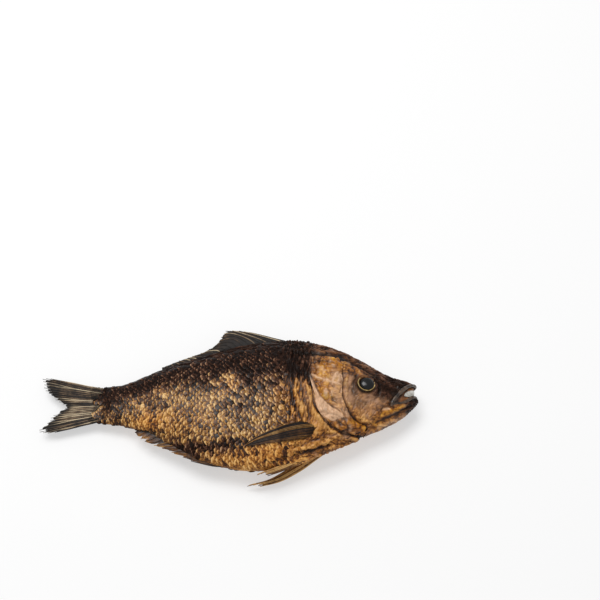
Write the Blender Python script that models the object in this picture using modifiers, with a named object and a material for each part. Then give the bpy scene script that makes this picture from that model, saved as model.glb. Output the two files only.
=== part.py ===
"""A whole smoked bream lying on its left side on a flat surface.

The head points along +X, the back along +Y and the right flank faces up, +Z. The trunk and head are
one body; the jaws, gill covers, eyes and fins are pieces of their own. Shares are of the three
driving dimensions below, and places along the fish are counted from the middle of its length.
"""

import math

import bmesh
import bpy
from mathutils import Vector

MM = 0.001

# Driving dimensions of the fish.
LENGTH = 240 * MM
DEPTH = 90 * MM
THICKNESS = 31 * MM

# Clearances between pieces that touch on the real fish.
GAP = 0.4 * MM
SHEET_GAP = 0.9 * MM

# Stations along the body, tail root to snout: (place along the length as a share of LENGTH, back and
# belly as shares of DEPTH, then right half, left half and height of the middle plane as shares of
# THICKNESS).
STATIONS = (
    (-0.345, 0.161, -0.128, 0.130, 0.120, 0.26),
    (-0.292, 0.178, -0.156, 0.177, 0.165, 0.29),
    (-0.229, 0.245, -0.215, 0.250, 0.240, 0.33),
    (-0.158, 0.317, -0.317, 0.335, 0.320, 0.38),
    (-0.083, 0.383, -0.445, 0.415, 0.400, 0.42),
    (0.000, 0.450, -0.518, 0.475, 0.480, 0.45),
    (0.083, 0.494, -0.536, 0.510, 0.500, 0.465),
    (0.167, 0.506, -0.500, 0.520, 0.450, 0.47),
    (0.229, 0.476, -0.432, 0.515, 0.395, 0.475),
    (0.292, 0.414, -0.356, 0.490, 0.375, 0.475),
    (0.354, 0.322, -0.272, 0.425, 0.370, 0.46),
    (0.417, 0.217, -0.180, 0.315, 0.290, 0.44),
    (0.467, 0.172, -0.080, 0.215, 0.200, 0.42),
    (0.497, 0.140, -0.005, 0.120, 0.115, 0.41),
)

# Shape of a cross-section: the thickest place is a little above the middle, and an exponent over 1
# sharpens the ridge of the back and the keel of the belly.
THICKEST_SHIFT = 0.10
BACK_SHARPNESS = 1.30
BELLY_SHARPNESS = 1.25
RING_POINTS = 36
RING_SPACING = 5.0 * MM

# Fins and gill covers are thin sheets.
FIN_THICKNESS = 1.4 * MM
COVER_THICKNESS = 1.1 * MM
SHEET_ROWS = 5

EYE_RADIUS = 5.2 * MM
EYE_PLACE = (0.358, 0.076)
EYE_SHOWS = 1.3 * MM
EYE_SHOWS_LEFT = 0.4 * MM

# Mouth: the jaws are slices of the head, cut by prisms through its whole thickness. The outlines are
# (share of LENGTH, share of DEPTH) points.
PRISM_HEIGHT = 2 * THICKNESS
LOWER_JAW_OUTLINE = (
    (0.369, -0.250),
    (0.388, -0.178),
    (0.429, -0.050),
    (0.452, -0.008),
    (0.479, 0.034),
    (0.520, 0.062),
    (0.520, -0.360),
    (0.369, -0.360),
)
UPPER_JAW_OUTLINE = (
    (0.433, -0.020),
    (0.444, 0.022),
    (0.460, 0.058),
    (0.479, 0.104),
    (0.492, 0.128),
    (0.520, 0.140),
    (0.520, 0.200),
    (0.478, 0.158),
    (0.454, 0.102),
    (0.436, 0.062),
    (0.424, 0.000),
)
MOUTH_OUTLINE = (
    (0.365, -0.252),
    (0.385, -0.172),
    (0.420, -0.030),
    (0.419, 0.002),
    (0.432, 0.067),
    (0.451, 0.108),
    (0.476, 0.163),
    (0.530, 0.208),
    (0.530, -0.380),
    (0.365, -0.380),
)

# Fin and gill cover outlines: a root line and a free line, joined by a sheet.
DORSAL_ROOT = (0.150, -0.185)
DORSAL_EDGE = (
    (0.150, 0.522),
    (0.084, 0.568),
    (0.026, 0.600),
    (-0.024, 0.608),
    (-0.052, 0.474),
    (-0.100, 0.410),
    (-0.147, 0.363),
    (-0.192, 0.313),
)
ANAL_ROOT = (-0.030, -0.245)
ANAL_EDGE = (
    (-0.036, -0.530),
    (-0.083, -0.482),
    (-0.133, -0.412),
    (-0.183, -0.350),
    (-0.222, -0.308),
    (-0.256, -0.216),
)
TAIL_ROOT_HALF = 0.085
TAIL_MIDDLE = 0.017
TAIL_ROOT_PLACE = -0.349
TAIL_FAN_PLACE = -0.382
TAIL_FAN_HALF = 0.163
TAIL_HEIGHT = 0.20
TAIL_EDGE = (
    (-0.466, 0.226),
    (-0.503, 0.232),
    (-0.492, 0.150),
    (-0.472, 0.072),
    (-0.450, 0.014),
    (-0.464, -0.042),
    (-0.483, -0.104),
    (-0.500, -0.184),
    (-0.466, -0.196),
)
PECTORAL_ROOT = (
    (0.226, -0.212),
    (0.230, -0.262),
    (0.228, -0.314),
)
PECTORAL_EDGE = (
    (0.050, -0.360),
    (0.042, -0.380),
    (0.048, -0.402),
)
PELVIC_ROOT_PLACES = (0.218, 0.196)
PELVIC_TIP = (0.100, -0.575)
PELVIC_TIP_LEFT = (0.078, -0.600)
PELVIC_RIGHT_HEIGHT = (0.68, 0.48)
PELVIC_LEFT_HEIGHT = (0.32, 0.12)
PELVIC_TIP_WIDTH = 0.036
COVER_FRONT = (
    (0.292, 0.300),
    (0.300, 0.175),
    (0.302, 0.069),
    (0.306, -0.010),
    (0.312, -0.085),
    (0.328, -0.158),
    (0.356, -0.222),
)
COVER_REAR = (
    (0.236, 0.290),
    (0.214, 0.220),
    (0.210, 0.145),
    (0.220, 0.020),
    (0.236, -0.118),
    (0.262, -0.212),
    (0.318, -0.262),
)

# Colours of the smoked skin, fins and eyes, as linear base colours.
SKIN = (0.30, 0.16, 0.055)
BONE_SKIN = (0.36, 0.18, 0.055)
CHARRED = (0.045, 0.030, 0.022)
EYE_BLACK = (0.006, 0.006, 0.007)


def clear_scene():
    """Removes the objects that the file opened with."""
    for obj in list(bpy.data.objects):
        bpy.data.objects.remove(obj)


def new_collection(name):
    """A collection under the scene's own."""
    collection = bpy.data.collections.new(name)
    bpy.context.scene.collection.children.link(collection)
    return collection


def material(name, colour, roughness):
    """A Principled BSDF material with one colour."""
    made = bpy.data.materials.new(name)
    made.use_nodes = True
    shader = made.node_tree.nodes["Principled BSDF"]
    shader.inputs["Base Color"].default_value = (*colour, 1.0)
    shader.inputs["Roughness"].default_value = roughness
    shader.inputs["Metallic"].default_value = 0.0
    return made


def between_stations(share):
    """The section's measures at a place along the body, by a cubic through the stations (Catmull-Rom)."""
    places = [row[0] for row in STATIONS]
    share = min(max(share, places[0]), places[-1])
    i = max(k for k in range(len(places) - 1) if places[k] <= share)
    before, here = max(i - 1, 0), i
    after, beyond = i + 1, min(i + 2, len(places) - 1)
    span = places[after] - places[here]
    t = (share - places[here]) / span
    found = []
    for column in range(1, len(STATIONS[0])):
        low, high = STATIONS[here][column], STATIONS[after][column]
        slope_low = (high - STATIONS[before][column]) / (places[after] - places[before]) * span
        slope_high = (STATIONS[beyond][column] - low) / (places[beyond] - places[here]) * span
        found.append(
            low * (2 * t**3 - 3 * t**2 + 1)
            + slope_low * (t**3 - 2 * t**2 + t)
            + high * (3 * t**2 - 2 * t**3)
            + slope_high * (t**3 - t**2)
        )
    return found


def section(x):
    """Centre and half of the depth, right and left half thickness, and middle height, in metres."""
    back, belly, right, left, middle = between_stations(x / LENGTH)
    centre = (back + belly) / 2 * DEPTH
    half_depth = (back - belly) / 2 * DEPTH
    return centre, half_depth, right * THICKNESS, left * THICKNESS, middle * THICKNESS


def sharpness(rise):
    """The exponent of the section's thickness at a rise of 1 on the back to -1 on the belly."""
    return BELLY_SHARPNESS + (BACK_SHARPNESS - BELLY_SHARPNESS) * (1 + rise) / 2


def ring_point(x, angle):
    """A point of the section at x. Angle 0 is the back, a quarter turn the right flank."""
    centre, half_depth, right, left, middle = section(x)
    rise, out = math.cos(angle), math.sin(angle)
    y = centre + half_depth * (rise + THICKEST_SHIFT * out**2)
    half = right if out >= 0 else left
    z = middle + math.copysign(half * abs(out) ** sharpness(rise), out)
    return Vector((x, y, max(z, 0.0)))


def flank_height(x, y, side):
    """Height of the right (side 1) or left (side -1) flank above the surface that the fish lies on."""
    centre, half_depth, right, left, middle = section(x)
    level = (y - centre) / half_depth
    # rise + shift * (1 - rise ** 2) = level, solved for the rise.
    shift = THICKEST_SHIFT
    root = math.sqrt(max(1 + 4 * shift * (shift - level), 0.0))
    rise = min(max((1 - root) / (2 * shift), -1.0), 1.0)
    half = right if side > 0 else left
    return middle + side * half * (1 - rise**2) ** (sharpness(rise) / 2)


def belly_line(x, height):
    """Where the belly's surface is at x and a height above the surface under the fish."""
    centre, half_depth, right, left, middle = section(x)
    half = right if height > middle else left
    out = min(abs(height - middle) / half, 1.0) ** (1 / BELLY_SHARPNESS)
    return centre + half_depth * (THICKEST_SHIFT * out**2 - math.sqrt(1 - out**2))


def middle_height(x):
    """Height of the fish's middle plane at x."""
    return section(x)[4]


def mesh_object(name, points, faces, collection, origin=(0, 0, 0)):
    """An object whose mesh holds these world points, with its origin at the place given."""
    origin = Vector(origin)
    mesh = bpy.data.meshes.new(name)
    mesh.from_pydata([Vector(p) - origin for p in points], [], faces)
    made = bpy.data.objects.new(name, mesh)
    made.location = origin
    collection.objects.link(made)
    return made


def fix_normals(obj):
    """Faces of a closed mesh turned to point out."""
    work = bmesh.new()
    work.from_mesh(obj.data)
    bmesh.ops.recalc_face_normals(work, faces=work.faces)
    work.to_mesh(obj.data)
    work.free()
    obj.data.shade_smooth()


def add_form(name, collection):
    """The whole trunk and head as one closed loft of rings, tail root to snout."""
    first, last = STATIONS[0][0] * LENGTH, STATIONS[-1][0] * LENGTH
    count = round((last - first) / RING_SPACING)
    rings = [first + (last - first) * i / count for i in range(count + 1)]
    angles = [2 * math.pi * k / RING_POINTS for k in range(RING_POINTS)]
    points = [ring_point(x, angle) for x in rings for angle in angles]
    faces = []
    for i in range(count):
        for k in range(RING_POINTS):
            low, high = i * RING_POINTS, (i + 1) * RING_POINTS
            following = (k + 1) % RING_POINTS
            faces.append((low + k, low + following, high + following, high + k))
    for start in (0, count * RING_POINTS):
        faces.append(tuple(range(start, start + RING_POINTS)))
    made = mesh_object(name, points, faces, collection)
    fix_normals(made)
    return made


def add_prism(name, outline, collection):
    """An upright prism through the whole thickness, from an outline in shares."""
    low, high = -PRISM_HEIGHT / 4, PRISM_HEIGHT * 3 / 4
    corners = [(share * LENGTH, depth * DEPTH) for share, depth in outline]
    count = len(corners)
    points = [(x, y, z) for z in (low, high) for x, y in corners]
    faces = [tuple(range(count)), tuple(range(count, 2 * count))]
    for k in range(count):
        following = (k + 1) % count
        faces.append((k, following, following + count, k + count))
    made = mesh_object(name, points, faces, collection)
    fix_normals(made)
    return made


def hide_cutter(obj):
    """Keeps a helper out of the render and draws it as wire."""
    obj.hide_render = True
    obj.display_type = "WIRE"


def boolean(obj, cutter, operation):
    """A Boolean modifier with the exact solver."""
    modifier = obj.modifiers.new(f"{operation.lower()}_{cutter.name}", "BOOLEAN")
    modifier.operation = operation
    modifier.solver = "EXACT"
    modifier.object = cutter
    hide_cutter(cutter)


def lines_between(root, edge):
    """Evenly spaced lines of points from a root line to a free line, both included."""
    lines = []
    for row in range(SHEET_ROWS + 1):
        share = row / SHEET_ROWS
        lines.append([Vector(a).lerp(Vector(b), share) for a, b in zip(root, edge)])
    return lines


def add_sheet(name, lines, thickness, collection):
    """A thin sheet through lines of as many points each, as an open surface with Solidify."""
    count = len(lines[0])
    points = [point for line in lines for point in line]
    faces = []
    for row in range(len(lines) - 1):
        for k in range(count - 1):
            low, high = row * count, (row + 1) * count
            faces.append((low + k, low + k + 1, high + k + 1, high + k))
    made = mesh_object(name, points, faces, collection, lines[0][count // 2])
    solid = made.modifiers.new("thickness", "SOLIDIFY")
    solid.thickness = thickness
    solid.offset = 0
    return made


def on_middle(points):
    """Outline points in shares, placed on the fish's middle plane."""
    placed = []
    for share, depth in points:
        x = share * LENGTH
        placed.append((x, depth * DEPTH, middle_height(x)))
    return placed


def outline_root(span, count, side):
    """Points along the back (side 1) or belly (side -1), clear of the body by the gap."""
    points = []
    for k in range(count):
        x = (span[0] + (span[1] - span[0]) * k / (count - 1)) * LENGTH
        centre, half_depth, _, _, middle = section(x)
        points.append((x, centre + side * (half_depth + SHEET_GAP), middle))
    return points


def on_flank(points, side):
    """Outline points in shares, placed on a flank."""
    placed = []
    for share, depth in points:
        x, y = share * LENGTH, depth * DEPTH
        placed.append((x, y, flank_height(x, y, side)))
    return placed


def add_flank_sheet(name, root, edge, thickness, side, collection):
    """A sheet that follows a flank, just clear of it."""
    lift = SHEET_GAP + thickness / 2
    made = add_sheet(name, lines_between(on_flank(root, side), on_flank(edge, side)), thickness, collection)
    for vertex in made.data.vertices:
        place = vertex.co + made.location
        vertex.co.z = flank_height(place.x, place.y, side) + side * lift - made.location.z
    return made


def add_tail_fin(collection):
    """The forked tail: a fan from the tail root to the two lobes."""
    count = len(TAIL_EDGE)
    height = TAIL_HEIGHT * THICKNESS
    root_height = middle_height(STATIONS[0][0] * LENGTH)
    root, fan = [], []
    for k in range(count):
        across = 1 - 2 * k / (count - 1)
        root.append((TAIL_ROOT_PLACE * LENGTH, (TAIL_MIDDLE + TAIL_ROOT_HALF * across) * DEPTH, root_height))
        fan.append((TAIL_FAN_PLACE * LENGTH, (TAIL_MIDDLE + TAIL_FAN_HALF * across) * DEPTH, root_height))
    edge = [(share * LENGTH, depth * DEPTH, height) for share, depth in TAIL_EDGE]
    return add_sheet("tail_fin", [root, *lines_between(fan, edge)], FIN_THICKNESS, collection)


def add_midline_fins(collection):
    """The dorsal fin folded down along the back, and the anal fin along the belly."""
    back = outline_root(DORSAL_ROOT, len(DORSAL_EDGE), 1)
    belly = outline_root(ANAL_ROOT, len(ANAL_EDGE), -1)
    return [
        add_sheet("dorsal_fin", lines_between(back, on_middle(DORSAL_EDGE)), FIN_THICKNESS, collection),
        add_sheet("anal_fin", lines_between(belly, on_middle(ANAL_EDGE)), FIN_THICKNESS, collection),
    ]


def add_pelvic_fin(name, tip, heights, collection):
    """A narrow pelvic fin folded back under the belly, from its root line to its tip."""
    count = 3
    front, rear = PELVIC_ROOT_PLACES
    height = heights[0] * THICKNESS
    root = []
    for k in range(count):
        x = (front + (rear - front) * k / (count - 1)) * LENGTH
        root.append((x, belly_line(x, height) - 2 * SHEET_GAP, height))
    edge = []
    for k in range(count):
        slide = PELVIC_TIP_WIDTH * k / (count - 1)
        edge.append(((tip[0] - slide) * LENGTH, tip[1] * DEPTH, heights[1] * THICKNESS))
    made = add_sheet(name, lines_between(root, edge), FIN_THICKNESS, collection)
    for vertex in made.data.vertices:
        place = vertex.co + made.location
        clear = belly_line(place.x, place.z) - 2 * SHEET_GAP
        vertex.co.y = min(place.y, clear) - made.location.y
    return made


def add_eye(name, side, shows, body, collection, cutters):
    """An eyeball seated in a socket that is cut into the head."""
    x, y = EYE_PLACE[0] * LENGTH, EYE_PLACE[1] * DEPTH
    z = flank_height(x, y, side) + side * (shows - EYE_RADIUS)
    balls = ((name, EYE_RADIUS, collection), (name + "_socket", EYE_RADIUS + GAP, cutters))
    for title, radius, group in balls:
        bpy.ops.mesh.primitive_uv_sphere_add(segments=20, ring_count=12, radius=radius, location=(x, y, z))
        ball = bpy.context.active_object
        ball.name = title
        for owner in list(ball.users_collection):
            owner.objects.unlink(ball)
        group.objects.link(ball)
        ball.data.shade_smooth()
    boolean(body, bpy.data.objects[name + "_socket"], "DIFFERENCE")
    return bpy.data.objects[name]


def dress(objects, made):
    """Gives each object the material."""
    for obj in objects:
        obj.data.materials.append(made)


def stand_on_origin(objects):
    """Moves everything so that the origin is under the middle of the fish, on the surface that it lies on."""
    bpy.context.view_layer.update()
    graph = bpy.context.evaluated_depsgraph_get()
    corners = []
    for obj in objects:
        if not obj.hide_render:
            evaluated = obj.evaluated_get(graph)
            corners += [evaluated.matrix_world @ vertex.co for vertex in evaluated.to_mesh().vertices]
            evaluated.to_mesh_clear()
    low = [min(corner[axis] for corner in corners) for axis in range(3)]
    high = [max(corner[axis] for corner in corners) for axis in range(3)]
    shift = Vector((-(low[0] + high[0]) / 2, -(low[1] + high[1]) / 2, -low[2]))
    anchor = bpy.data.objects.new("fish_origin", None)
    bpy.context.scene.collection.objects.link(anchor)
    for obj in objects:
        obj.parent = anchor
    anchor.location = shift


def main():
    """Builds the fish."""
    clear_scene()
    fish = new_collection("smoked_bream")
    cutters = new_collection("cutters")

    body = add_form("body", fish)
    boolean(body, add_prism("mouth_cutter", MOUTH_OUTLINE, cutters), "DIFFERENCE")
    jaws = []
    for name, outline in (("lower_jaw", LOWER_JAW_OUTLINE), ("upper_jaw", UPPER_JAW_OUTLINE)):
        jaw = add_form(name, fish)
        boolean(jaw, add_prism(name + "_cutter", outline, cutters), "INTERSECT")
        jaws.append(jaw)
    eyes = [
        add_eye("eye_right", 1, EYE_SHOWS, body, fish, cutters),
        add_eye("eye_left", -1, EYE_SHOWS_LEFT, body, fish, cutters),
    ]
    covers = [
        add_flank_sheet("gill_cover_right", COVER_FRONT, COVER_REAR, COVER_THICKNESS, 1, fish),
        add_flank_sheet("gill_cover_left", COVER_FRONT, COVER_REAR, COVER_THICKNESS, -1, fish),
    ]
    fins = [
        add_flank_sheet("pectoral_fin_right", PECTORAL_ROOT, PECTORAL_EDGE, FIN_THICKNESS, 1, fish),
        add_flank_sheet("pectoral_fin_left", PECTORAL_ROOT, PECTORAL_EDGE, FIN_THICKNESS, -1, fish),
        add_pelvic_fin("pelvic_fin_right", PELVIC_TIP, PELVIC_RIGHT_HEIGHT, fish),
        add_pelvic_fin("pelvic_fin_left", PELVIC_TIP_LEFT, PELVIC_LEFT_HEIGHT, fish),
        add_tail_fin(fish),
        *add_midline_fins(fish),
    ]

    dress([body], material("smoked_skin", SKIN, 0.45))
    dress([*covers, *jaws], material("smoked_bone_skin", BONE_SKIN, 0.35))
    dress(fins, material("charred_fin", CHARRED, 0.5))
    dress(eyes, material("dried_eye", EYE_BLACK, 0.12))
    stand_on_origin([*fish.objects, *cutters.objects])


main()
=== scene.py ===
"""A whole dark-smoked bream, lying on its left side on a pale table.

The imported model's boxes give the fish's size and the places of its eyes. Its smooth form is worked out
again here from the same stations, then covered with fine skin, scales, fin rays, jaws, gill covers and eyes.
"""

import logging
import math
from dataclasses import dataclass
from enum import Enum

import bmesh
import bpy
import numpy as np
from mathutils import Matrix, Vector


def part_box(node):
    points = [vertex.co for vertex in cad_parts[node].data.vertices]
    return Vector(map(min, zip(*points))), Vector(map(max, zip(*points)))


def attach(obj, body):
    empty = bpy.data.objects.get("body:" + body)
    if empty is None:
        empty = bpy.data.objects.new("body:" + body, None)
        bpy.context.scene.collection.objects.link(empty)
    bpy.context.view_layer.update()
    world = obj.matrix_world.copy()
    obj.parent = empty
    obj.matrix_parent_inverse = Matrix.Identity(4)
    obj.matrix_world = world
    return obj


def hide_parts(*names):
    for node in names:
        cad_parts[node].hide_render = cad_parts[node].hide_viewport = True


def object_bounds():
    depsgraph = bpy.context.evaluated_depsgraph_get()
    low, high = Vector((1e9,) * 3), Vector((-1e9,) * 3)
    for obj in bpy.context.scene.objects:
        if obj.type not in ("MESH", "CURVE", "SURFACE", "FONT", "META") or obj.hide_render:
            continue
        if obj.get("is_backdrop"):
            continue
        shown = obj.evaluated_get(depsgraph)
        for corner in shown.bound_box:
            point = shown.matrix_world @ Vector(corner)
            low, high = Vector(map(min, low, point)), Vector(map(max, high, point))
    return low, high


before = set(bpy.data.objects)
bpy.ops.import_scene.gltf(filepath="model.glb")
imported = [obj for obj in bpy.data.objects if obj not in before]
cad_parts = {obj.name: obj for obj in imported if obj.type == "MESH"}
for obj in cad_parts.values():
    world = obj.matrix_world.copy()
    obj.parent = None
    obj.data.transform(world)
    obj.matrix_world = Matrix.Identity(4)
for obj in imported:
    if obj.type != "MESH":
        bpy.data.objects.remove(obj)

LOG = logging.getLogger("smoked_bream")
MM = 0.001
TABLE_GAP = 0.05 * MM
FULL_TURN = 2 * math.pi

Outline = tuple[tuple[float, float], ...]
Fields = dict[str, np.ndarray]
Material = bpy.types.Material
Socket = bpy.types.NodeSocket
Pieces = tuple[bpy.types.Object, ...]


class Side(Enum):
    """A flank of the fish: the right one faces up."""

    RIGHT = 1
    LEFT = -1


# ---------------------------------------------------------------------------------------------
# Shared maths
# ---------------------------------------------------------------------------------------------


def smoothstep(low: float, high: float, value: np.ndarray) -> np.ndarray:
    """A smooth rise from 0 at low to 1 at high."""
    share = np.clip((value - low) / (high - low), 0.0, 1.0)
    return share * share * (3 - 2 * share)


def cubic(places: np.ndarray, values: np.ndarray, wanted: np.ndarray) -> np.ndarray:
    """Reads a smooth cubic (Catmull-Rom) through a table.

    Args:
        places: rising places of the table's rows.
        values: one value, or a row of values, for each place.
        wanted: places to read at.

    Returns:
        The values there, with the table's own shape for each place.
    """
    wanted = np.clip(wanted, places[0], places[-1])
    here = np.clip(np.searchsorted(places, wanted, side="right") - 1, 0, len(places) - 2)
    before, after = np.maximum(here - 1, 0), here + 1
    beyond = np.minimum(here + 2, len(places) - 1)
    span = places[after] - places[here]
    share = (wanted - places[here]) / span
    if values.ndim > 1:
        span, share = span[..., None], share[..., None]
        reach_low = (places[after] - places[before])[..., None]
        reach_high = (places[beyond] - places[here])[..., None]
    else:
        reach_low, reach_high = places[after] - places[before], places[beyond] - places[here]
    slope_low = (values[after] - values[before]) / reach_low * span
    slope_high = (values[beyond] - values[here]) / reach_high * span
    return (
        values[here] * (2 * share**3 - 3 * share**2 + 1)
        + slope_low * (share**3 - 2 * share**2 + share)
        + values[after] * (3 * share**2 - 2 * share**3)
        + slope_high * (share**3 - share**2)
    )


def through(points: np.ndarray, count: int) -> np.ndarray:
    """Evenly shared points along a smooth curve through a few points.

    Args:
        points: the curve's own points, one row each.
        count: how many points to return.

    Returns:
        The points, one row each.
    """
    steps = np.linalg.norm(np.diff(points, axis=0), axis=1)
    places = np.concatenate([[0.0], np.cumsum(steps)])
    return cubic(places, points, np.linspace(0.0, places[-1], count))


def read_line(line: np.ndarray, share: np.ndarray) -> np.ndarray:
    """Places (x, y) on a finely pointed line, by their share of its length."""
    places = np.arange(len(line))
    return np.stack([np.interp(share * places[-1], places, line[:, k]) for k in range(2)], axis=-1)


def unit(vectors: np.ndarray) -> np.ndarray:
    """Vectors scaled to a length of one."""
    return vectors / np.maximum(np.linalg.norm(vectors, axis=-1, keepdims=True), 1e-12)


class Noise:
    """Repeatable smooth noise in space, about -1 to 1."""

    def __init__(self, seed: int) -> None:
        """Args:
        seed: fixes the pattern.
        """
        random = np.random.default_rng(seed)
        self.order = random.permutation(256)
        self.directions = unit(random.normal(size=(256, 3)))

    def at(self, points: np.ndarray) -> np.ndarray:
        """Noise whose features are one unit apart.

        Args:
            points: one row of three for each place.

        Returns:
            One value for each place.
        """
        cell = np.floor(points).astype(int)
        inside = points - cell
        fade = inside**3 * (inside * (inside * 6 - 15) + 10)
        total = np.zeros(len(points))
        for corner in np.ndindex(2, 2, 2):
            step = np.array(corner)
            key = (cell + step) & 255
            first = self.order[key[:, 0]]
            second = self.order[(first + key[:, 1]) & 255]
            index = self.order[(second + key[:, 2]) & 255]
            lean = ((inside - step) * self.directions[index]).sum(axis=1)
            total += np.prod(np.where(step, fade, 1 - fade), axis=1) * lean
        return total * 1.7

    def layered(self, points: np.ndarray, size: float, layers: int = 3) -> np.ndarray:
        """Noise with finer layers on it, each half as large and half as strong as the last.

        Args:
            points: one row of three for each place, in metres.
            size: spacing of the coarsest features, in metres.
            layers: how many layers.

        Returns:
            One value for each place, about -1 to 1.
        """
        total, strength, whole = np.zeros(len(points)), 1.0, 0.0
        for layer in range(layers):
            total += strength * self.at(points / size + 17.3 * layer)
            whole += strength
            size, strength = size / 2, strength / 2
        return total / whole


# ---------------------------------------------------------------------------------------------
# The fish's form
# ---------------------------------------------------------------------------------------------


@dataclass(frozen=True)
class Box:
    """Lowest and highest corner, in metres."""

    low: Vector
    high: Vector


class FishForm:
    """The smooth shape of trunk and head, in the row frame.

    Places on it are given as shares: of the length, counted from the middle of the fish towards the
    head, and of the depth, counted towards the back.
    """

    # Place, back, belly, right half, left half, height of the middle plane: tail root to snout.
    STATIONS = np.array(
        [
            (-0.345, 0.161, -0.128, 0.130, 0.120, 0.26),
            (-0.292, 0.178, -0.156, 0.177, 0.165, 0.29),
            (-0.229, 0.245, -0.215, 0.250, 0.240, 0.33),
            (-0.158, 0.317, -0.317, 0.335, 0.320, 0.38),
            (-0.083, 0.383, -0.445, 0.415, 0.400, 0.42),
            (0.000, 0.450, -0.518, 0.475, 0.480, 0.45),
            (0.083, 0.494, -0.536, 0.510, 0.500, 0.465),
            (0.167, 0.506, -0.500, 0.520, 0.450, 0.47),
            (0.229, 0.476, -0.432, 0.515, 0.395, 0.475),
            (0.292, 0.414, -0.356, 0.490, 0.375, 0.475),
            (0.354, 0.322, -0.272, 0.425, 0.370, 0.46),
            (0.417, 0.217, -0.180, 0.315, 0.290, 0.44),
            (0.467, 0.172, -0.080, 0.215, 0.200, 0.42),
            (0.497, 0.140, -0.005, 0.120, 0.115, 0.41),
        ]
    )
    TAIL_TIP = -0.503
    ROOT_TAPER = (-0.350, -0.322)
    TIP_TAPER = (-0.346, -0.372)
    FINE_STATIONS = 400
    FRONT = 0.4925
    FRONT_SECTION = 0.49
    SMALL_STEP = 0.2 * MM
    SMALL_TURN = 0.01
    THICKEST_SHIFT = 0.10
    BACK_SHARPNESS = 1.30
    BELLY_SHARPNESS = 1.25
    REST_SOFTNESS = 0.7 * MM

    def __init__(self, whole: Box, body: Box) -> None:
        """Args:
        whole: the box of the whole fish.
        body: the box of its trunk and head.
        """
        self.start = whole.low.x
        self.length = whole.high.x - whole.low.x
        places = np.linspace(self.STATIONS[0, 0], self.STATIONS[-1, 0], self.FINE_STATIONS)
        fine = cubic(self.STATIONS[:, 0], self.STATIONS[:, 1:], places)
        back, belly = fine[:, 0].max(), fine[:, 1].min()
        self.depth = (body.high.y - body.low.y) / (back - belly)
        self.datum = body.low.y - belly * self.depth
        self.thickness = body.high.z / (fine[:, 2] + fine[:, 4]).max()

    def x(self, share: float | np.ndarray) -> float | np.ndarray:
        """Place along the row frame's X for a share of the length."""
        return self.start + (share - self.TAIL_TIP) * self.length

    def y(self, share: float | np.ndarray) -> float | np.ndarray:
        """Place along the row frame's Y for a share of the depth."""
        return self.datum + share * self.depth

    def plan(self, outline: Outline) -> np.ndarray:
        """Points in shares as (x, y) rows in metres."""
        points = np.array(outline)
        return np.stack([self.x(points[:, 0]), self.y(points[:, 1])], axis=1)

    def share(self, x: np.ndarray) -> np.ndarray:
        """Share of the length at x."""
        return (x - self.start) / self.length + self.TAIL_TIP

    def section(self, x: np.ndarray) -> tuple[np.ndarray, ...]:
        """The cross-section's measures.

        Args:
            x: places along the fish, in metres.

        Returns:
            Centre and half of the depth, right half, left half and middle height, in metres.
        """
        share = self.share(np.asarray(x, float))
        found = cubic(self.STATIONS[:, 0], self.STATIONS[:, 1:], share)
        back, belly = self.y(found[..., 0]), self.y(found[..., 1])
        right, left, middle = (found[..., k] * self.thickness for k in (2, 3, 4))
        thin = 0.3 + 0.7 * smoothstep(*self.ROOT_TAPER, share) - 0.2 * smoothstep(*self.TIP_TAPER, share)
        return (back + belly) / 2, (back - belly) / 2, right * thin, left * thin, middle

    def sharpness(self, rise: np.ndarray) -> np.ndarray:
        """Exponent of the thickness, from the belly's at a rise of -1 to the back's at 1."""
        return self.BELLY_SHARPNESS + (self.BACK_SHARPNESS - self.BELLY_SHARPNESS) * (1 + rise) / 2

    def rested(self, z: np.ndarray) -> np.ndarray:
        """Heights with what would be under the table pressed softly flat on it."""
        return (z + np.sqrt(z**2 + self.REST_SOFTNESS**2)) / 2

    def surface(self, x: np.ndarray, angle: np.ndarray) -> np.ndarray:
        """Points of the surface.

        Args:
            x: places along the fish, in metres.
            angle: angles round the section, 0 on the back and a quarter turn on the right flank.

        Returns:
            An array of the same shape with a last axis of three.
        """
        centre, half_depth, right, left, middle = self.section(x)
        rise, out = np.cos(angle), np.sin(angle)
        y = centre + half_depth * (rise + self.THICKEST_SHIFT * out**2)
        half = np.where(out >= 0, right, left)
        z = middle + np.sign(out) * half * np.abs(out) ** self.sharpness(rise)
        return np.stack([x + 0 * y, y, self.rested(z)], axis=-1)

    def outward(self, x: np.ndarray, angle: np.ndarray) -> np.ndarray:
        """Unit vectors out of the surface, for the same arguments as surface."""
        step, turn = self.SMALL_STEP, self.SMALL_TURN
        along = self.surface(x + step, angle) - self.surface(x - step, angle)
        round_it = self.surface(x, angle + turn) - self.surface(x, angle - turn)
        return unit(np.cross(round_it, along))

    def angle_of(self, x: np.ndarray, y: np.ndarray, side: Side) -> np.ndarray:
        """The angle of the surface point over a place in plan.

        Args:
            x: places along the fish, in metres.
            y: places across it, in metres.
            side: which flank.

        Returns:
            Angles for surface and outward.
        """
        shift = self.THICKEST_SHIFT
        root = np.sqrt(np.maximum(1 + 4 * shift * (shift - self.level(x, y)), 0.0))
        rise = np.clip((1 - root) / (2 * shift), -1.0, 1.0)
        return side.value * np.arccos(rise)

    def level(self, x: np.ndarray, y: np.ndarray) -> np.ndarray:
        """How high in the depth a place is: -1 on the belly, 1 on the back."""
        centre, half_depth, *_ = self.section(x)
        return (y - centre) / half_depth

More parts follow.
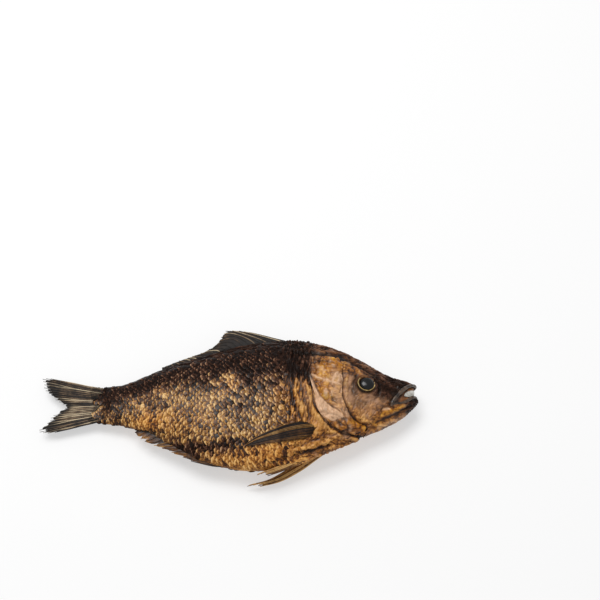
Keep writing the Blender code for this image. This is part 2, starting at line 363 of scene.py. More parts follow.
    def lifted(self, plan: np.ndarray, side: Side, lift: float | np.ndarray) -> np.ndarray:
        """Places in plan carried onto a flank.

        Args:
            plan: (x, y) rows in metres.
            side: which flank.
            lift: how far out of the surface, in metres.

        Returns:
            (x, y, z) rows in metres.
        """
        angle = self.angle_of(plan[:, 0], plan[:, 1], side)
        base = self.surface(plan[:, 0], angle)
        return base + self.outward(plan[:, 0], angle) * np.reshape(lift, (-1, 1))

    def snout_tip(self, depth: float) -> np.ndarray:
        """The point at the very front of the middle plane, at a share of the depth, as one row."""
        height = self.section(np.array([self.x(self.FRONT_SECTION)]))[4][0]
        return np.array([[self.x(self.FRONT), self.y(depth), height]])

    def middle(self, plan: np.ndarray) -> np.ndarray:
        """Places in plan carried onto the middle plane, as (x, y, z) rows."""
        return np.column_stack([plan, self.section(plan[:, 0])[4]])


# ---------------------------------------------------------------------------------------------
# Creases, ridges and colour zones over a flank
# ---------------------------------------------------------------------------------------------


def curve_distance(plan: np.ndarray, curve: np.ndarray) -> tuple[np.ndarray, np.ndarray]:
    """Distance from places to a curve.

    Args:
        plan: (x, y) rows.
        curve: the curve's (x, y) points, close together.

    Returns:
        The distance, and how far along the curve the nearest point is, from 0 to 1.
    """
    best = np.full(len(plan), np.inf)
    along = np.zeros(len(plan))
    for k in range(len(curve) - 1):
        leg = curve[k + 1] - curve[k]
        share = np.clip(((plan - curve[k]) @ leg) / (leg @ leg), 0.0, 1.0)
        away = np.linalg.norm(plan - curve[k] - share[:, None] * leg, axis=1)
        nearer = away < best
        best[nearer] = away[nearer]
        along[nearer] = (k + share[nearer]) / (len(curve) - 1)
    return best, along


def inside_outline(plan: np.ndarray, outline: np.ndarray) -> np.ndarray:
    """Whether each place is inside a closed outline."""
    inside = np.zeros(len(plan), bool)
    x, y = plan[:, 0], plan[:, 1]
    for (x0, y0), (x1, y1) in zip(outline, np.roll(outline, -1, axis=0)):
        if y0 == y1:
            continue
        crosses = (y0 > y) != (y1 > y)
        inside ^= crosses & (x < (x1 - x0) * (y - y0) / (y1 - y0) + x0)
    return inside


@dataclass(frozen=True)
class Crease:
    """A groove or a ridge along a curve: depth is negative for a ridge. Sizes are in millimetres.
    A groove's darkening is painted shade; a ridge's gold or pink is partly own colour and partly painted
    highlight.
    """

    curve: Outline
    width: float
    depth: float
    stain: float = 0.0
    gold: float = 0.0
    pink: float = 0.0


@dataclass(frozen=True)
class Patch:
    """An oval zone of one colour: how far it reaches along and across, in millimetres."""

    field: str
    place: tuple[float, float]
    reach: tuple[float, float]
    strength: float
    turn: float = 0.0


class Relief:
    """Heights and colour zones over places on the flanks."""

    FIELDS = ("char", "gold", "pink", "stain", "calm")
    CURVE_POINTS = 28
    WOBBLE = 0.9 * MM
    WOBBLE_SIZE = 7 * MM
    MOST_CHAR = 1.3
    TONE_HEIGHT = 1.1 * MM

    def __init__(self, form: FishForm, points: np.ndarray, seed: int) -> None:
        """Args:
        form: the fish's form.
        points: (x, y, z) rows in metres.
        seed: fixes the wobble of every line.
        """
        self.form = form
        self.points = points
        wobble = Noise(seed)
        shift = [wobble.layered(points + 0.03 * k, self.WOBBLE_SIZE, 2) for k in range(2)]
        self.plan = points[:, :2] + self.WOBBLE * np.stack(shift, axis=1)
        self.height = np.zeros(len(points))
        self.fields: Fields = {name: np.zeros(len(points)) for name in self.FIELDS}

    def near(self, curve: Outline, width: float) -> np.ndarray:
        """A bell from 1 on a curve to 0 away from it, thinner at the curve's ends."""
        fine = through(self.form.plan(curve), self.CURVE_POINTS)
        away, along = curve_distance(self.plan, fine)
        body = 0.25 + 0.75 * np.sqrt(np.clip(4 * along * (1 - along), 0.0, 1.0))
        return np.exp(-((away / (width * MM * body)) ** 2))

    def crease(self, crease: Crease) -> None:
        """Presses a groove, or raises a ridge, and tints it: painted shade in a groove, and on a ridge gold
        or pink that is partly painted highlight.
        """
        bell = self.near(crease.curve, crease.width)
        self.height -= crease.depth * MM * bell
        for name in ("stain", "gold", "pink"):
            amount = getattr(crease, name)
            self.fields[name] = np.maximum(self.fields[name], amount * bell)

    def oval(self, place: tuple[float, float], reach: tuple[float, float],
             turn: float = 0.0) -> np.ndarray:
        """A bell over an oval.

        Args:
            place: its centre in shares.
            reach: its half sizes in millimetres.
            turn: its turn in degrees, counter-clockwise.

        Returns:
            1 at the centre, about a third at the rim, 0 away from it.
        """
        centre = self.form.plan((place,))[0]
        cos, sin = math.cos(math.radians(turn)), math.sin(math.radians(turn))
        offset = self.plan - centre
        along = (offset[:, 0] * cos + offset[:, 1] * sin) / (reach[0] * MM)
        across = (offset[:, 1] * cos - offset[:, 0] * sin) / (reach[1] * MM)
        return np.exp(-(along**2) - across**2)

    def settle(self) -> None:
        """Keeps the fields in range, and makes the tone from the height: painted shade in hollows, painted
        highlight on ridges.
        """
        for name, values in self.fields.items():
            self.fields[name] = np.clip(values, 0.0, self.MOST_CHAR if name == "char" else 1.0)
        # Painted shade where the skin lies low and painted highlight where it stands high, by its height.
        self.fields["tone"] = np.clip(self.height / self.TONE_HEIGHT, -0.9, 0.6)

    def patch(self, patch: Patch) -> None:
        """Adds an oval zone of colour, or takes it away where its strength is negative."""
        bell = self.oval(patch.place, patch.reach, patch.turn)
        self.fields[patch.field] = self.fields[patch.field] + patch.strength * bell


# ---------------------------------------------------------------------------------------------
# Mesh and node helpers
# ---------------------------------------------------------------------------------------------


def placed(name: str, mesh: bpy.types.Mesh) -> bpy.types.Object:
    """An object at the origin that shows a mesh, linked to the scene."""
    made = bpy.data.objects.new(name, mesh)
    bpy.context.scene.collection.objects.link(made)
    return made


def store(mesh: bpy.types.Mesh, fields: Fields) -> None:
    """Stores fields as attributes of a mesh: a number or a vector for each point."""
    for title, values in fields.items():
        kind, key = ("FLOAT_VECTOR", "vector") if values.ndim > 1 else ("FLOAT", "value")
        attribute = mesh.attributes.new(title, kind, "POINT")
        attribute.data.foreach_set(key, np.ascontiguousarray(values, np.float32).ravel())


def add_object(name: str, points: np.ndarray, faces: list, fields: Fields | None = None,
               finish: Material | None = None) -> bpy.types.Object:
    """Makes an object at the origin from world points.

    Args:
        name: the piece's name.
        points: one row of three for each point.
        faces: a list of corner lists.
        fields: a value for each point, stored as attributes of these names.
        finish: its material.

    Returns:
        The object, linked to the scene and shaded smooth.
    """
    mesh = bpy.data.meshes.new(name)
    mesh.from_pydata(points.tolist(), [], faces)
    if faces:
        turned = bmesh.new()
        turned.from_mesh(mesh)
        bmesh.ops.recalc_face_normals(turned, faces=turned.faces)
        turned.to_mesh(mesh)
        turned.free()
    store(mesh, fields or {})
    mesh.shade_smooth()
    if finish:
        mesh.materials.append(finish)
    return placed(name, mesh)


def grid_faces(rows: int, columns: int, closed: bool = False, start: int = 0) -> list[tuple[int, ...]]:
    """Quads of a grid of points.

    Args:
        rows: lines of points.
        columns: points in each line.
        closed: whether each line's last point joins its first.
        start: index of the first point.

    Returns:
        Faces whose normal is the row direction crossed with the column direction.
    """
    faces = []
    for i in range(rows - 1):
        for k in range(columns if closed else columns - 1):
            after = (k + 1) % columns
            low, high = start + i * columns, start + (i + 1) * columns
            faces.append((low + k, high + k, high + after, low + after))
    return faces


def rim_of(rows: int, columns: int) -> list[int]:
    """Indices of a grid's outer points, once round."""
    rim = [(0, k) for k in range(columns)] + [(i, columns - 1) for i in range(1, rows)]
    rim += [(rows - 1, k) for k in range(columns - 2, -1, -1)] + [(i, 0) for i in range(rows - 2, 0, -1)]
    return [i * columns + k for i, k in rim]


def tips(count: int, last: int, start: int) -> list[tuple[int, ...]]:
    """Triangles that close both ends of a tube onto two more points.

    Args:
        count: points round the tube.
        last: index of the first point of the tube's last ring.
        start: index of the point at its first end. The other end's follows it.

    Returns:
        The faces.
    """
    faces = []
    for k in range(count):
        after = (k + 1) % count
        faces += [(start, k, after), (start + 1, last + after, last + k)]
    return faces


def shell(name: str, top: np.ndarray, bottom: np.ndarray, fields: Fields,
          finish: Material) -> bpy.types.Object:
    """A closed thin plate from two grids of points.

    Args:
        name: the piece's name.
        top: rows x columns x 3 points of the outer face.
        bottom: as many points of the inner face.
        fields: rows x columns values, used on both faces.
        finish: its material.

    Returns:
        The object.
    """
    facing = np.cross(np.diff(top, axis=0)[:, :-1], np.diff(top, axis=1)[:-1])
    if (facing * (top - bottom)[:-1, :-1]).sum() < 0:
        top, bottom = top[:, ::-1], bottom[:, ::-1]
        fields = {title: values[:, ::-1] for title, values in fields.items()}
    rows, columns = top.shape[:2]
    count = rows * columns
    points = np.concatenate([top.reshape(-1, 3), bottom.reshape(-1, 3)])
    faces = grid_faces(rows, columns)
    faces += [tuple(count + corner for corner in reversed(face)) for face in faces]
    corners = rim_of(rows, columns)
    for here, after in zip(corners, corners[1:] + corners[:1]):
        faces.append((here, after, after + count, here + count))
    both = {title: np.tile(values.ravel(), 2) for title, values in fields.items()}
    return add_object(name, points, faces, both, finish)


def sweep(name: str, path: np.ndarray, up: np.ndarray, width: np.ndarray, height: np.ndarray,
          finish: Material, sides: int, joined: bool = False) -> bpy.types.Object:
    """A closed rounded strand along a path.

    Args:
        name: the piece's name.
        path: points along its middle.
        up: a direction out of the surface at each point.
        width: its size across at each point, in metres.
        height: its size along up at each point, in metres.
        finish: its material.
        sides: points round it.
        joined: whether the path runs back into its own start.

    Returns:
        The object.
    """
    steps = np.roll(path, -1, axis=0) - np.roll(path, 1, axis=0) if joined else np.gradient(path, axis=0)
    along = unit(steps)
    across = unit(np.cross(along, up))
    raised = np.cross(across, along)
    turn = np.linspace(0, FULL_TURN, sides, endpoint=False)
    rings = (
        path[:, None]
        + across[:, None] * (np.cos(turn)[None, :, None] * width[:, None, None] / 2)
        + raised[:, None] * (np.sin(turn)[None, :, None] * height[:, None, None] / 2)
    )
    points = rings.reshape(-1, 3)
    faces = grid_faces(len(path), sides, closed=True)
    last = (len(path) - 1) * sides
    if joined:
        faces += [(last + k, k, (k + 1) % sides, last + (k + 1) % sides) for k in range(sides)]
    else:
        faces += tips(sides, last, len(points))
        points = np.concatenate([points, path[[0, -1]]])
    return add_object(name, points, faces, finish=finish)


def linear(hex_colour: str) -> tuple[float, float, float, float]:
    """An sRGB hex colour as a linear RGBA value."""
    parts = [int(hex_colour[k : k + 2], 16) / 255 for k in (1, 3, 5)]
    return (*(p / 12.92 if p <= 0.04045 else ((p + 0.055) / 1.055) ** 2.4 for p in parts), 1.0)


def add_node(tree: bpy.types.NodeTree, kind: str, settings: dict | None = None,
             links: dict | None = None) -> bpy.types.Node:
    """Adds a node.

    Args:
        tree: the material's or the Geometry Nodes tree.
        kind: the node's type name.
        settings: its own settings by attribute name.
        links: input by name or number, with the socket that feeds it or its fixed value.

    Returns:
        The node.
    """
    node = tree.nodes.new(kind)
    for key, value in (settings or {}).items():
        setattr(node, key, value)
    for key, value in (links or {}).items():
        if isinstance(value, Socket):
            tree.links.new(value, node.inputs[key])
        else:
            node.inputs[key].default_value = value
    return node


def start_tree(name: str, inputs: dict[str, str]) -> bpy.types.NodeTree:
    """Starts a Geometry Nodes tree.

    Args:
        name: its name.
        inputs: the kind of each named input beside the geometry, Float or Int.

    Returns:
        The tree, with its sockets and no nodes.
    """
    tree = bpy.data.node_groups.new(name, "GeometryNodeTree")
    for title, kind in {"Geometry": "Geometry", **inputs}.items():
        tree.interface.new_socket(title, in_out="INPUT", socket_type=f"NodeSocket{kind}")
    tree.interface.new_socket("Geometry", in_out="OUTPUT", socket_type="NodeSocketGeometry")
    return tree


def carried(tree: bpy.types.NodeTree, title: str, kind: str = "FLOAT") -> Socket:
    """Reads an attribute that the points carry."""
    return add_node(tree, "GeometryNodeInputNamedAttribute", {"data_type": kind}, {"Name": title}).outputs[0]


def end_tree(tree: bpy.types.NodeTree, geometry: Socket, finish: Material) -> None:
    """Ends a tree in Realize Instances and Set Material."""
    real = add_node(tree, "GeometryNodeRealizeInstances", None, {"Geometry": geometry}).outputs[0]
    painted = add_node(tree, "GeometryNodeSetMaterial", None, {"Geometry": real, "Material": finish})
    add_node(tree, "NodeGroupOutput", None, {0: painted.outputs[0]})


def own(piece: bpy.types.Object, slot: str, *nodes: str) -> bpy.types.Object:
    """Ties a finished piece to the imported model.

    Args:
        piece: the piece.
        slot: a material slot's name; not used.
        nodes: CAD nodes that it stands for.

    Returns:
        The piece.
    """
    places = np.empty(3 * len(piece.data.vertices), np.float32)
    piece.data.vertices.foreach_get("co", places)
    places[2::3] = np.maximum(places[2::3], TABLE_GAP)
    piece.data.vertices.foreach_set("co", places)
    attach(piece, "root")
    if nodes:
        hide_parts(*nodes)
    LOG.info("%s: %d faces", piece.name, len(piece.data.polygons))
    return piece


# ---------------------------------------------------------------------------------------------
# Finishes
# ---------------------------------------------------------------------------------------------


class ShadeTree:
    """A material in the making, with a short way to add each node that the finishes share."""

    def __init__(self, name: str) -> None:
        """Args:
        name: the material's name.
        """
        self.material = bpy.data.materials.new(name)
        self.material.use_nodes = True
        self.tree = self.material.node_tree
        self.tree.nodes.clear()
        self.coords = self.add("TexCoord").outputs["Object"]

    def add(self, kind: str, settings: dict | None = None, links: dict | None = None) -> bpy.types.Node:
        """Adds a shader node: see add_node."""
        return add_node(self.tree, f"ShaderNode{kind}", settings, links)

    def field(self, title: str) -> Socket:
        """Reads a field of the mesh."""
        return self.add("Attribute", {"attribute_name": title}).outputs["Fac"]

    def noise(self, size: float, detail: float, roughness: float = 0.5) -> Socket:
        """Noise with features of a size in metres."""
        links = {"Vector": self.coords, "Scale": 1 / size, "Detail": detail, "Roughness": roughness}
        return self.add("TexNoise", None, links).outputs[0]

    def scaled(self, value: Socket, by: float, plus: Socket | float = 0.0) -> Socket:
        """A value times a number, plus another value."""
        return self.add("Math", {"operation": "MULTIPLY_ADD"}, {0: value, 1: by, 2: plus}).outputs[0]

    def mix(self, share: Socket, first: Socket, second: Socket | str, kind: str = "MIX") -> Socket:
        """Lays a second colour, or a hex colour, over a first one."""
        over = linear(second) if isinstance(second, str) else second
        settings = {"data_type": "RGBA", "blend_type": kind}
        return self.add("Mix", settings, {0: share, 6: first, 7: over}).outputs[2]

    def remap(self, value: Socket, low: float, high: float, to: tuple[float, float] = (0.0, 1.0),
              kind: str = "LINEAR") -> Socket:
        """Maps a value's range from low to high onto another range."""
        links = {"Value": value, "From Min": low, "From Max": high, "To Min": to[0], "To Max": to[1]}
        return self.add("MapRange", {"interpolation_type": kind}, links).outputs[0]

    def ramp(self, stops: tuple[tuple[float, str], ...], factor: Socket) -> Socket:
        """A colour ramp through pairs of place and hex colour."""
        node = self.add("ValToRGB", None, {"Fac": factor})
        elements = node.color_ramp.elements
        for element, (place, shade) in zip(elements, (stops[0], stops[-1])):
            element.position, element.color = place, linear(shade)
        for place, shade in stops[1:-1]:
            elements.new(place).color = linear(shade)
        return node.outputs[0]

    def finish(self, height: Socket, strength: float, distance: float, inputs: dict) -> Material:
        """Ends the material.

        Args:
            height: what raises the surface.
            strength: how strongly.
            distance: how far, in metres.
            inputs: the shader's inputs by name.

        Returns:
            The material.
        """
        links = {"Height": height, "Strength": strength, "Distance": distance}
        raised = self.add("Bump", None, links).outputs[0]
        shader = self.add("BsdfPrincipled", None, {"Normal": raised, **inputs})
        self.add("OutputMaterial", None, {"Surface": shader.outputs[0]})
        return self.material


@dataclass(frozen=True)
class SmokedSkin:
    """Hot-smoked fish skin: tanned gold to brown by the smoke, charred black where it caught the heat.

    It reads the fields char, gold, pink, stain, calm, edge, tone and mood, so the zones follow the fish.
    Edge is painted shade along the scale rims; tone is painted shade in hollows and painted highlight on
    ridges and scale strips; stain mixes stains with painted shade, and gold and pink on ridges are partly
    painted highlight.
    Brown skin is oily and shines broadly, under a thin clear coat of fat. Char and scale rims are dull.
    """

    name: str
    tans: tuple[tuple[float, str], ...]
    pink: str = "#c0906c"
    amber: str = "#ffe2b4"
    roughness: tuple[float, float] = (0.27, 0.58)
    coat: float = 0.05
    specular: float = 0.30
    mottle: float = 9 * MM
    fleck: float = 1.5 * MM
    fleck_share: float = 0.55
    contrast: float = 1.5
    bump: float = 0.30 * MM
    # The scale rims' colour: painted shade of the gap under and between the scales.
    rim: str = "#2b180d"
    rim_shade_share: float = 0.9

    CHARS = ((0.20, "#150a06"), (0.38, "#2d1a10"), (0.52, "#4e3225"), (0.66, "#7b5843"), (0.86, "#c09a76"))
    # Colour of the stain field: smoke stains, and painted shade in grooves, slits, the nostril's pit, the
    # socket's rim and under the gill cover.
    STAIN_AND_SHADE = "#190d07"
    STAIN_AND_SHADE_SHARE = 0.88
    # The tone field adds painted shade in hollows and painted highlight on ridges and on each scale's pale
    # strip.
    TONE_SHARES = {"gold": 0.13, "tone": 0.26, "mood": 0.08, "char": -0.19}
    HEAD_CALM = 0.6
    CHAR_PATCHES = 1.3
    CHAR_RANGE = (0.90, 1.60)
    DULL_SHARE = 0.2

    def build(self) -> Material:
        """Makes the material."""
        made = ShadeTree(self.name)
        mottle, fleck = made.noise(self.mottle, 4.0, 0.6), made.noise(self.fleck, 3.0, 0.6)
        share = made.scaled(made.field("calm"), -self.HEAD_CALM * self.fleck_share, self.fleck_share)
        mixed = made.add("Mix", {"data_type": "FLOAT"}, {0: share, 2: mottle, 3: fleck}).outputs[0]
        blend = made.scaled(mixed, self.contrast, (1 - self.contrast) / 2)
        tone = blend
        for title, amount in self.TONE_SHARES.items():
            tone = made.scaled(made.field(title), amount, tone)
        amber = made.mix(made.field("gold"), made.ramp(self.tans, tone), self.amber, "MULTIPLY")
        rosy = made.mix(made.field("pink"), amber, self.pink)
        patchy = made.scaled(blend, self.CHAR_PATCHES, made.field("char"))
        burnt = made.remap(patchy, *self.CHAR_RANGE, kind="SMOOTHSTEP")
        skin = made.mix(burnt, rosy, made.ramp(self.CHARS, tone))
        # Painted shade along the scale rims, from the edge field.
        rim_shade = made.scaled(made.field("edge"), self.rim_shade_share)
        rim_shaded = made.mix(rim_shade, skin, self.rim)
        # Smoke stains and painted shade, from the stain field.
        base = made.mix(made.scaled(made.field("stain"), self.STAIN_AND_SHADE_SHARE), rim_shaded, self.STAIN_AND_SHADE)
        rough = made.remap(fleck, 0.3, 0.7, self.roughness)
        shine = made.remap(made.scaled(burnt, 1.0, rim_shade), 0.0, 1.0,
                           (self.specular, self.DULL_SHARE * self.specular))
        inputs = {"Base Color": base, "Roughness": rough, "Coat Weight": self.coat, "Coat Roughness": 0.22,
                  "Specular IOR Level": shine}
        return made.finish(fleck, 0.8, self.bump, inputs)


@dataclass(frozen=True)
class DriedRay:
    """Smoke-dried fin: hard bony rays, pale tan to black, or the brittle dark skin between them."""

    name: str
    shades: tuple[tuple[float, str], ...]
    roughness: float
    streak: float = 0.9 * MM

    # Colour of stain on the fins: smoke, and painted shade along the tail's slit.
    STAIN_AND_SHADE = "#0d0907"

    def build(self) -> Material:
        """Makes the material."""
        made = ShadeTree(self.name)
        mixed = made.scaled(made.noise(3 * self.streak, 4.0), 0.55, made.field("tone"))
        base = made.mix(made.field("stain"), made.ramp(self.shades, mixed), self.STAIN_AND_SHADE)
        inputs = {"Base Color": base, "Roughness": self.roughness, "Specular IOR Level": 0.35}
        return made.finish(made.noise(self.streak, 2.0), 0.7, 0.2 * MM, inputs)


@dataclass(frozen=True)
class GlossyTissue:
    """Small wet-looking tissue: a shrunken eyeball, its iris, a lip or the lining of the mouth."""

    name: str
    dark: str
    pale: str
    roughness: float
    grain: float
    coat: float = 0.0

    def build(self) -> Material:
        """Makes the material."""
        made = ShadeTree(self.name)
        noise = made.noise(self.grain, 4.0)
        shade = made.ramp(((0.35, self.dark), (0.68, self.pale)), noise)
        inputs = {"Base Color": shade, "Roughness": self.roughness, "Coat Weight": self.coat,
                  "Coat Roughness": 0.08}
        return made.finish(noise, 0.5, 0.15 * MM, inputs)


TRUNK_TANS = ((0.28, "#1c1009"), (0.41, "#4d2e16"), (0.52, "#835728"), (0.65, "#ba8843"), (0.84, "#ecc78b"))
HEAD_TANS = ((0.28, "#2d180d"), (0.41, "#603819"), (0.53, "#935c25"), (0.66, "#ba7f33"), (0.84, "#dcab62"))
GOLD_TANS = ((0.30, "#22130a"), (0.48, "#5b3717"), (0.66, "#9a6a2e"), (0.92, "#cfa465"))


class Finishes:
    """Every material of the fish, made once."""

    def __init__(self) -> None:
        """Makes them all."""
        self.skin = SmokedSkin("smoked_trunk_skin", TRUNK_TANS, fleck_share=0.5).build()
        self.scale = SmokedSkin(
            "smoked_scale", TRUNK_TANS, roughness=(0.25, 0.52), coat=0.04, fleck=1.1 * MM, bump=0.1 * MM
        ).build()
        self.cover = SmokedSkin(
            "smoked_gill_cover_skin", HEAD_TANS, pink="#e6b992", amber="#fff0a0", roughness=(0.26, 0.46),
            coat=0.15, mottle=7 * MM, fleck=2.2 * MM, fleck_share=0.5, contrast=1.35, bump=0.2 * MM,
        ).build()
        self.gold_ray = DriedRay("golden_fin_ray", GOLD_TANS, 0.42).build()
        self.ray = DriedRay("dried_fin_ray", ((0.25, "#140d09"), (0.44, "#403022"), (0.62, "#886f55"),
                                              (0.86, "#d2bd9c")), 0.42).build()
        self.web = DriedRay("charred_fin_skin", ((0.25, "#0b0705"), (0.52, "#25190f"), (0.9, "#563a22")),
                            0.62).build()
        self.eyeball = GlossyTissue("dried_eyeball", "#040405", "#0b0b0c", 0.22, 4 * MM).build()
        self.iris = GlossyTissue("dried_iris_rim", "#6b4f26", "#d0b26e", 0.35, 2 * MM).build()
        self.lip = GlossyTissue("charred_lip", "#1a100c", "#65503f", 0.36, 2.5 * MM, coat=0.15).build()
        self.mouth = GlossyTissue("mouth_lining", "#3f1f0c", "#a8662a", 0.4, 3 * MM, coat=0.2).build()
        self.membrane = GlossyTissue("dried_lip_membrane", "#a9a59c", "#dedcd6", 0.35, 2 * MM).build()


# ---------------------------------------------------------------------------------------------
# Marks of the skin
# ---------------------------------------------------------------------------------------------

COVER_FRONT: Outline = ((0.286, 0.300), (0.297, 0.232), (0.294, 0.156), (0.296, 0.088), (0.293, 0.008),
                        (0.295, -0.051), (0.303, -0.107), (0.313, -0.159), (0.324, -0.195), (0.340, -0.213),
                        (0.358, -0.222))
COVER_REAR: Outline = ((0.271, 0.298), (0.241, 0.286), (0.222, 0.259), (0.212, 0.202), (0.208, 0.123),
                       (0.214, 0.042), (0.222, -0.036), (0.224, -0.102), (0.235, -0.165), (0.255, -0.217),
                       (0.276, -0.256), (0.302, -0.277), (0.334, -0.275), (0.350, -0.258))
MEMBRANE_LINE: Outline = ((0.210, 0.130), (0.224, 0.018), (0.240, -0.057), (0.261, -0.106), (0.287, -0.158))
CHIN_LINE: Outline = ((0.377, -0.210), (0.406, -0.167), (0.434, -0.117), (0.461, -0.061))
MOUTH_END: Outline = ((0.365, -0.380), (0.365, -0.252), (0.385, -0.172), (0.420, -0.030), (0.430, 0.000),
                      (0.443, 0.040), (0.458, 0.083), (0.474, 0.118), (0.486, 0.142), (0.530, 0.190))
DARK_TOP: Outline = ((0.182, 0.297), (0.263, 0.295), (0.303, 0.267), (0.337, 0.211), (0.369, 0.168),
                     (0.401, 0.119), (0.427, 0.069), (0.520, -0.040))
SCALE_FRONT: Outline = ((0.195, -0.600), (0.195, -0.258), (0.172, -0.205), (0.162, -0.112), (0.154, 0.002),
                        (0.148, 0.125), (0.145, 0.259), (0.147, 0.422), (0.150, 0.600))

# Each groove's stain is painted shade; each ridge's gold or pink is partly painted highlight.
FOLDS = (
    # The slit round the gill cover's free edge, dark with painted shade, and the swollen rim of skin outside
    # it.
    Crease(((0.206, 0.149), (0.211, 0.042), (0.217, -0.036), (0.222, -0.110), (0.235, -0.172),
            (0.250, -0.218), (0.268, -0.260), (0.292, -0.285), (0.318, -0.291), (0.348, -0.278),
            (0.369, -0.248)),
           0.75, 1.1, stain=0.85),
    Crease(((0.196, 0.098), (0.203, 0.002), (0.209, -0.088), (0.222, -0.159), (0.241, -0.219),
            (0.260, -0.274), (0.292, -0.304), (0.326, -0.305), (0.356, -0.290), (0.375, -0.250)),
           1.0, -0.9, gold=0.8),
    # The groove ahead of the gill cover and the bony ridge ahead of that.
    Crease(COVER_FRONT[1:], 0.9, 0.9, stain=0.95),
    Crease(((0.307, 0.190), (0.306, 0.090), (0.304, 0.010), (0.306, -0.052), (0.315, -0.110), (0.327, -0.160),
            (0.345, -0.186), (0.368, -0.192)), 1.1, -0.6, gold=0.5),
    # Under the chin, and the slit behind the lower jaw.
    Crease(CHIN_LINE, 0.8, 0.8, stain=0.8),
    Crease(((0.352, -0.246), (0.366, -0.240), (0.384, -0.212)), 1.0, 1.2, stain=0.9),
    Crease(((0.300, -0.305), (0.327, -0.312), (0.361, -0.284)), 0.9, 0.5, stain=0.5),
    # Creased skin round the eye.
    Crease(((0.319, 0.013), (0.330, -0.044), (0.351, -0.071), (0.375, -0.052), (0.394, -0.002)),
           1.0, 0.55, stain=0.5),
    Crease(((0.326, 0.055), (0.322, 0.010), (0.336, -0.022)), 0.8, 0.45, stain=0.6),
    Crease(((0.321, 0.223), (0.331, 0.149), (0.320, 0.061)), 0.9, 0.55, stain=0.65),
    Crease(((0.336, 0.128), (0.350, 0.142), (0.366, 0.140)), 0.9, -0.55, gold=1.0),
    Crease(((0.380, 0.130), (0.392, 0.085), (0.392, 0.020)), 0.9, 0.6, stain=0.8),
    Crease(((0.386, 0.110), (0.396, 0.070), (0.398, 0.010)), 0.7, -0.4, pink=0.5),
    Crease(((0.322, 0.190), (0.345, 0.150), (0.356, 0.118)), 1.2, -0.4, gold=1.0),
    # The ridge along the top of the head.
    Crease(((0.156, 0.361), (0.182, 0.350), (0.215, 0.364), (0.250, 0.337)), 1.2, -0.9, pink=0.35),
    Crease(((0.160, 0.330), (0.190, 0.322), (0.240, 0.322), (0.290, 0.300), (0.330, 0.240), (0.380, 0.165),
            (0.410, 0.110)), 1.3, 0.9, stain=0.9),
    # Drawn-up folds of the shoulder, behind the gill slit.
    Crease(((0.138, 0.059), (0.129, 0.151), (0.142, 0.240)), 1.2, 0.8, stain=0.8),
    Crease(((0.167, 0.260), (0.160, 0.150), (0.163, 0.060), (0.159, 0.002), (0.164, -0.089), (0.177, -0.162),
            (0.190, -0.245)), 1.1, 1.0, stain=0.9),
    Crease(((0.182, 0.240), (0.178, 0.167), (0.186, 0.042), (0.192, -0.060)), 0.9, 0.8, stain=0.8),
    Crease(((0.196, 0.270), (0.198, 0.190), (0.196, 0.100)), 0.9, 0.7, stain=0.8),
    Crease(((0.174, 0.110), (0.172, 0.018), (0.178, -0.089), (0.190, -0.180)), 0.9, -0.7, gold=0.8),
    Crease(((0.186, -0.020), (0.188, -0.100), (0.202, -0.190)), 1.1, -0.8, gold=1.0),
    Crease(((0.196, -0.060), (0.202, -0.130), (0.214, -0.205)), 0.8, 0.7, stain=0.8),
    Crease(((0.214, -0.120), (0.224, -0.175), (0.240, -0.232), (0.250, -0.290)), 0.9, -0.7, gold=0.6),
    # Belly folds that run back from the throat along the pelvic fins.
    Crease(((0.261, -0.341), (0.224, -0.379), (0.182, -0.407), (0.141, -0.437), (0.100, -0.470)),
           1.5, -1.0, gold=1.0),
    Crease(((0.261, -0.363), (0.224, -0.400), (0.182, -0.430), (0.141, -0.462), (0.110, -0.490)),
           1.0, 1.0, stain=0.85),
    Crease(((0.247, -0.334), (0.214, -0.350), (0.182, -0.385), (0.150, -0.405)), 0.8, 0.5, stain=0.6),
    Crease(((0.270, -0.330), (0.255, -0.352), (0.236, -0.356)), 0.8, -0.6, gold=1.0),
    # The slit above the anal fin, dark with painted shade.
    Crease(((-0.240, -0.196), (-0.215, -0.222), (-0.190, -0.238), (-0.160, -0.262)), 1.3, 0.9, stain=1.0),
)

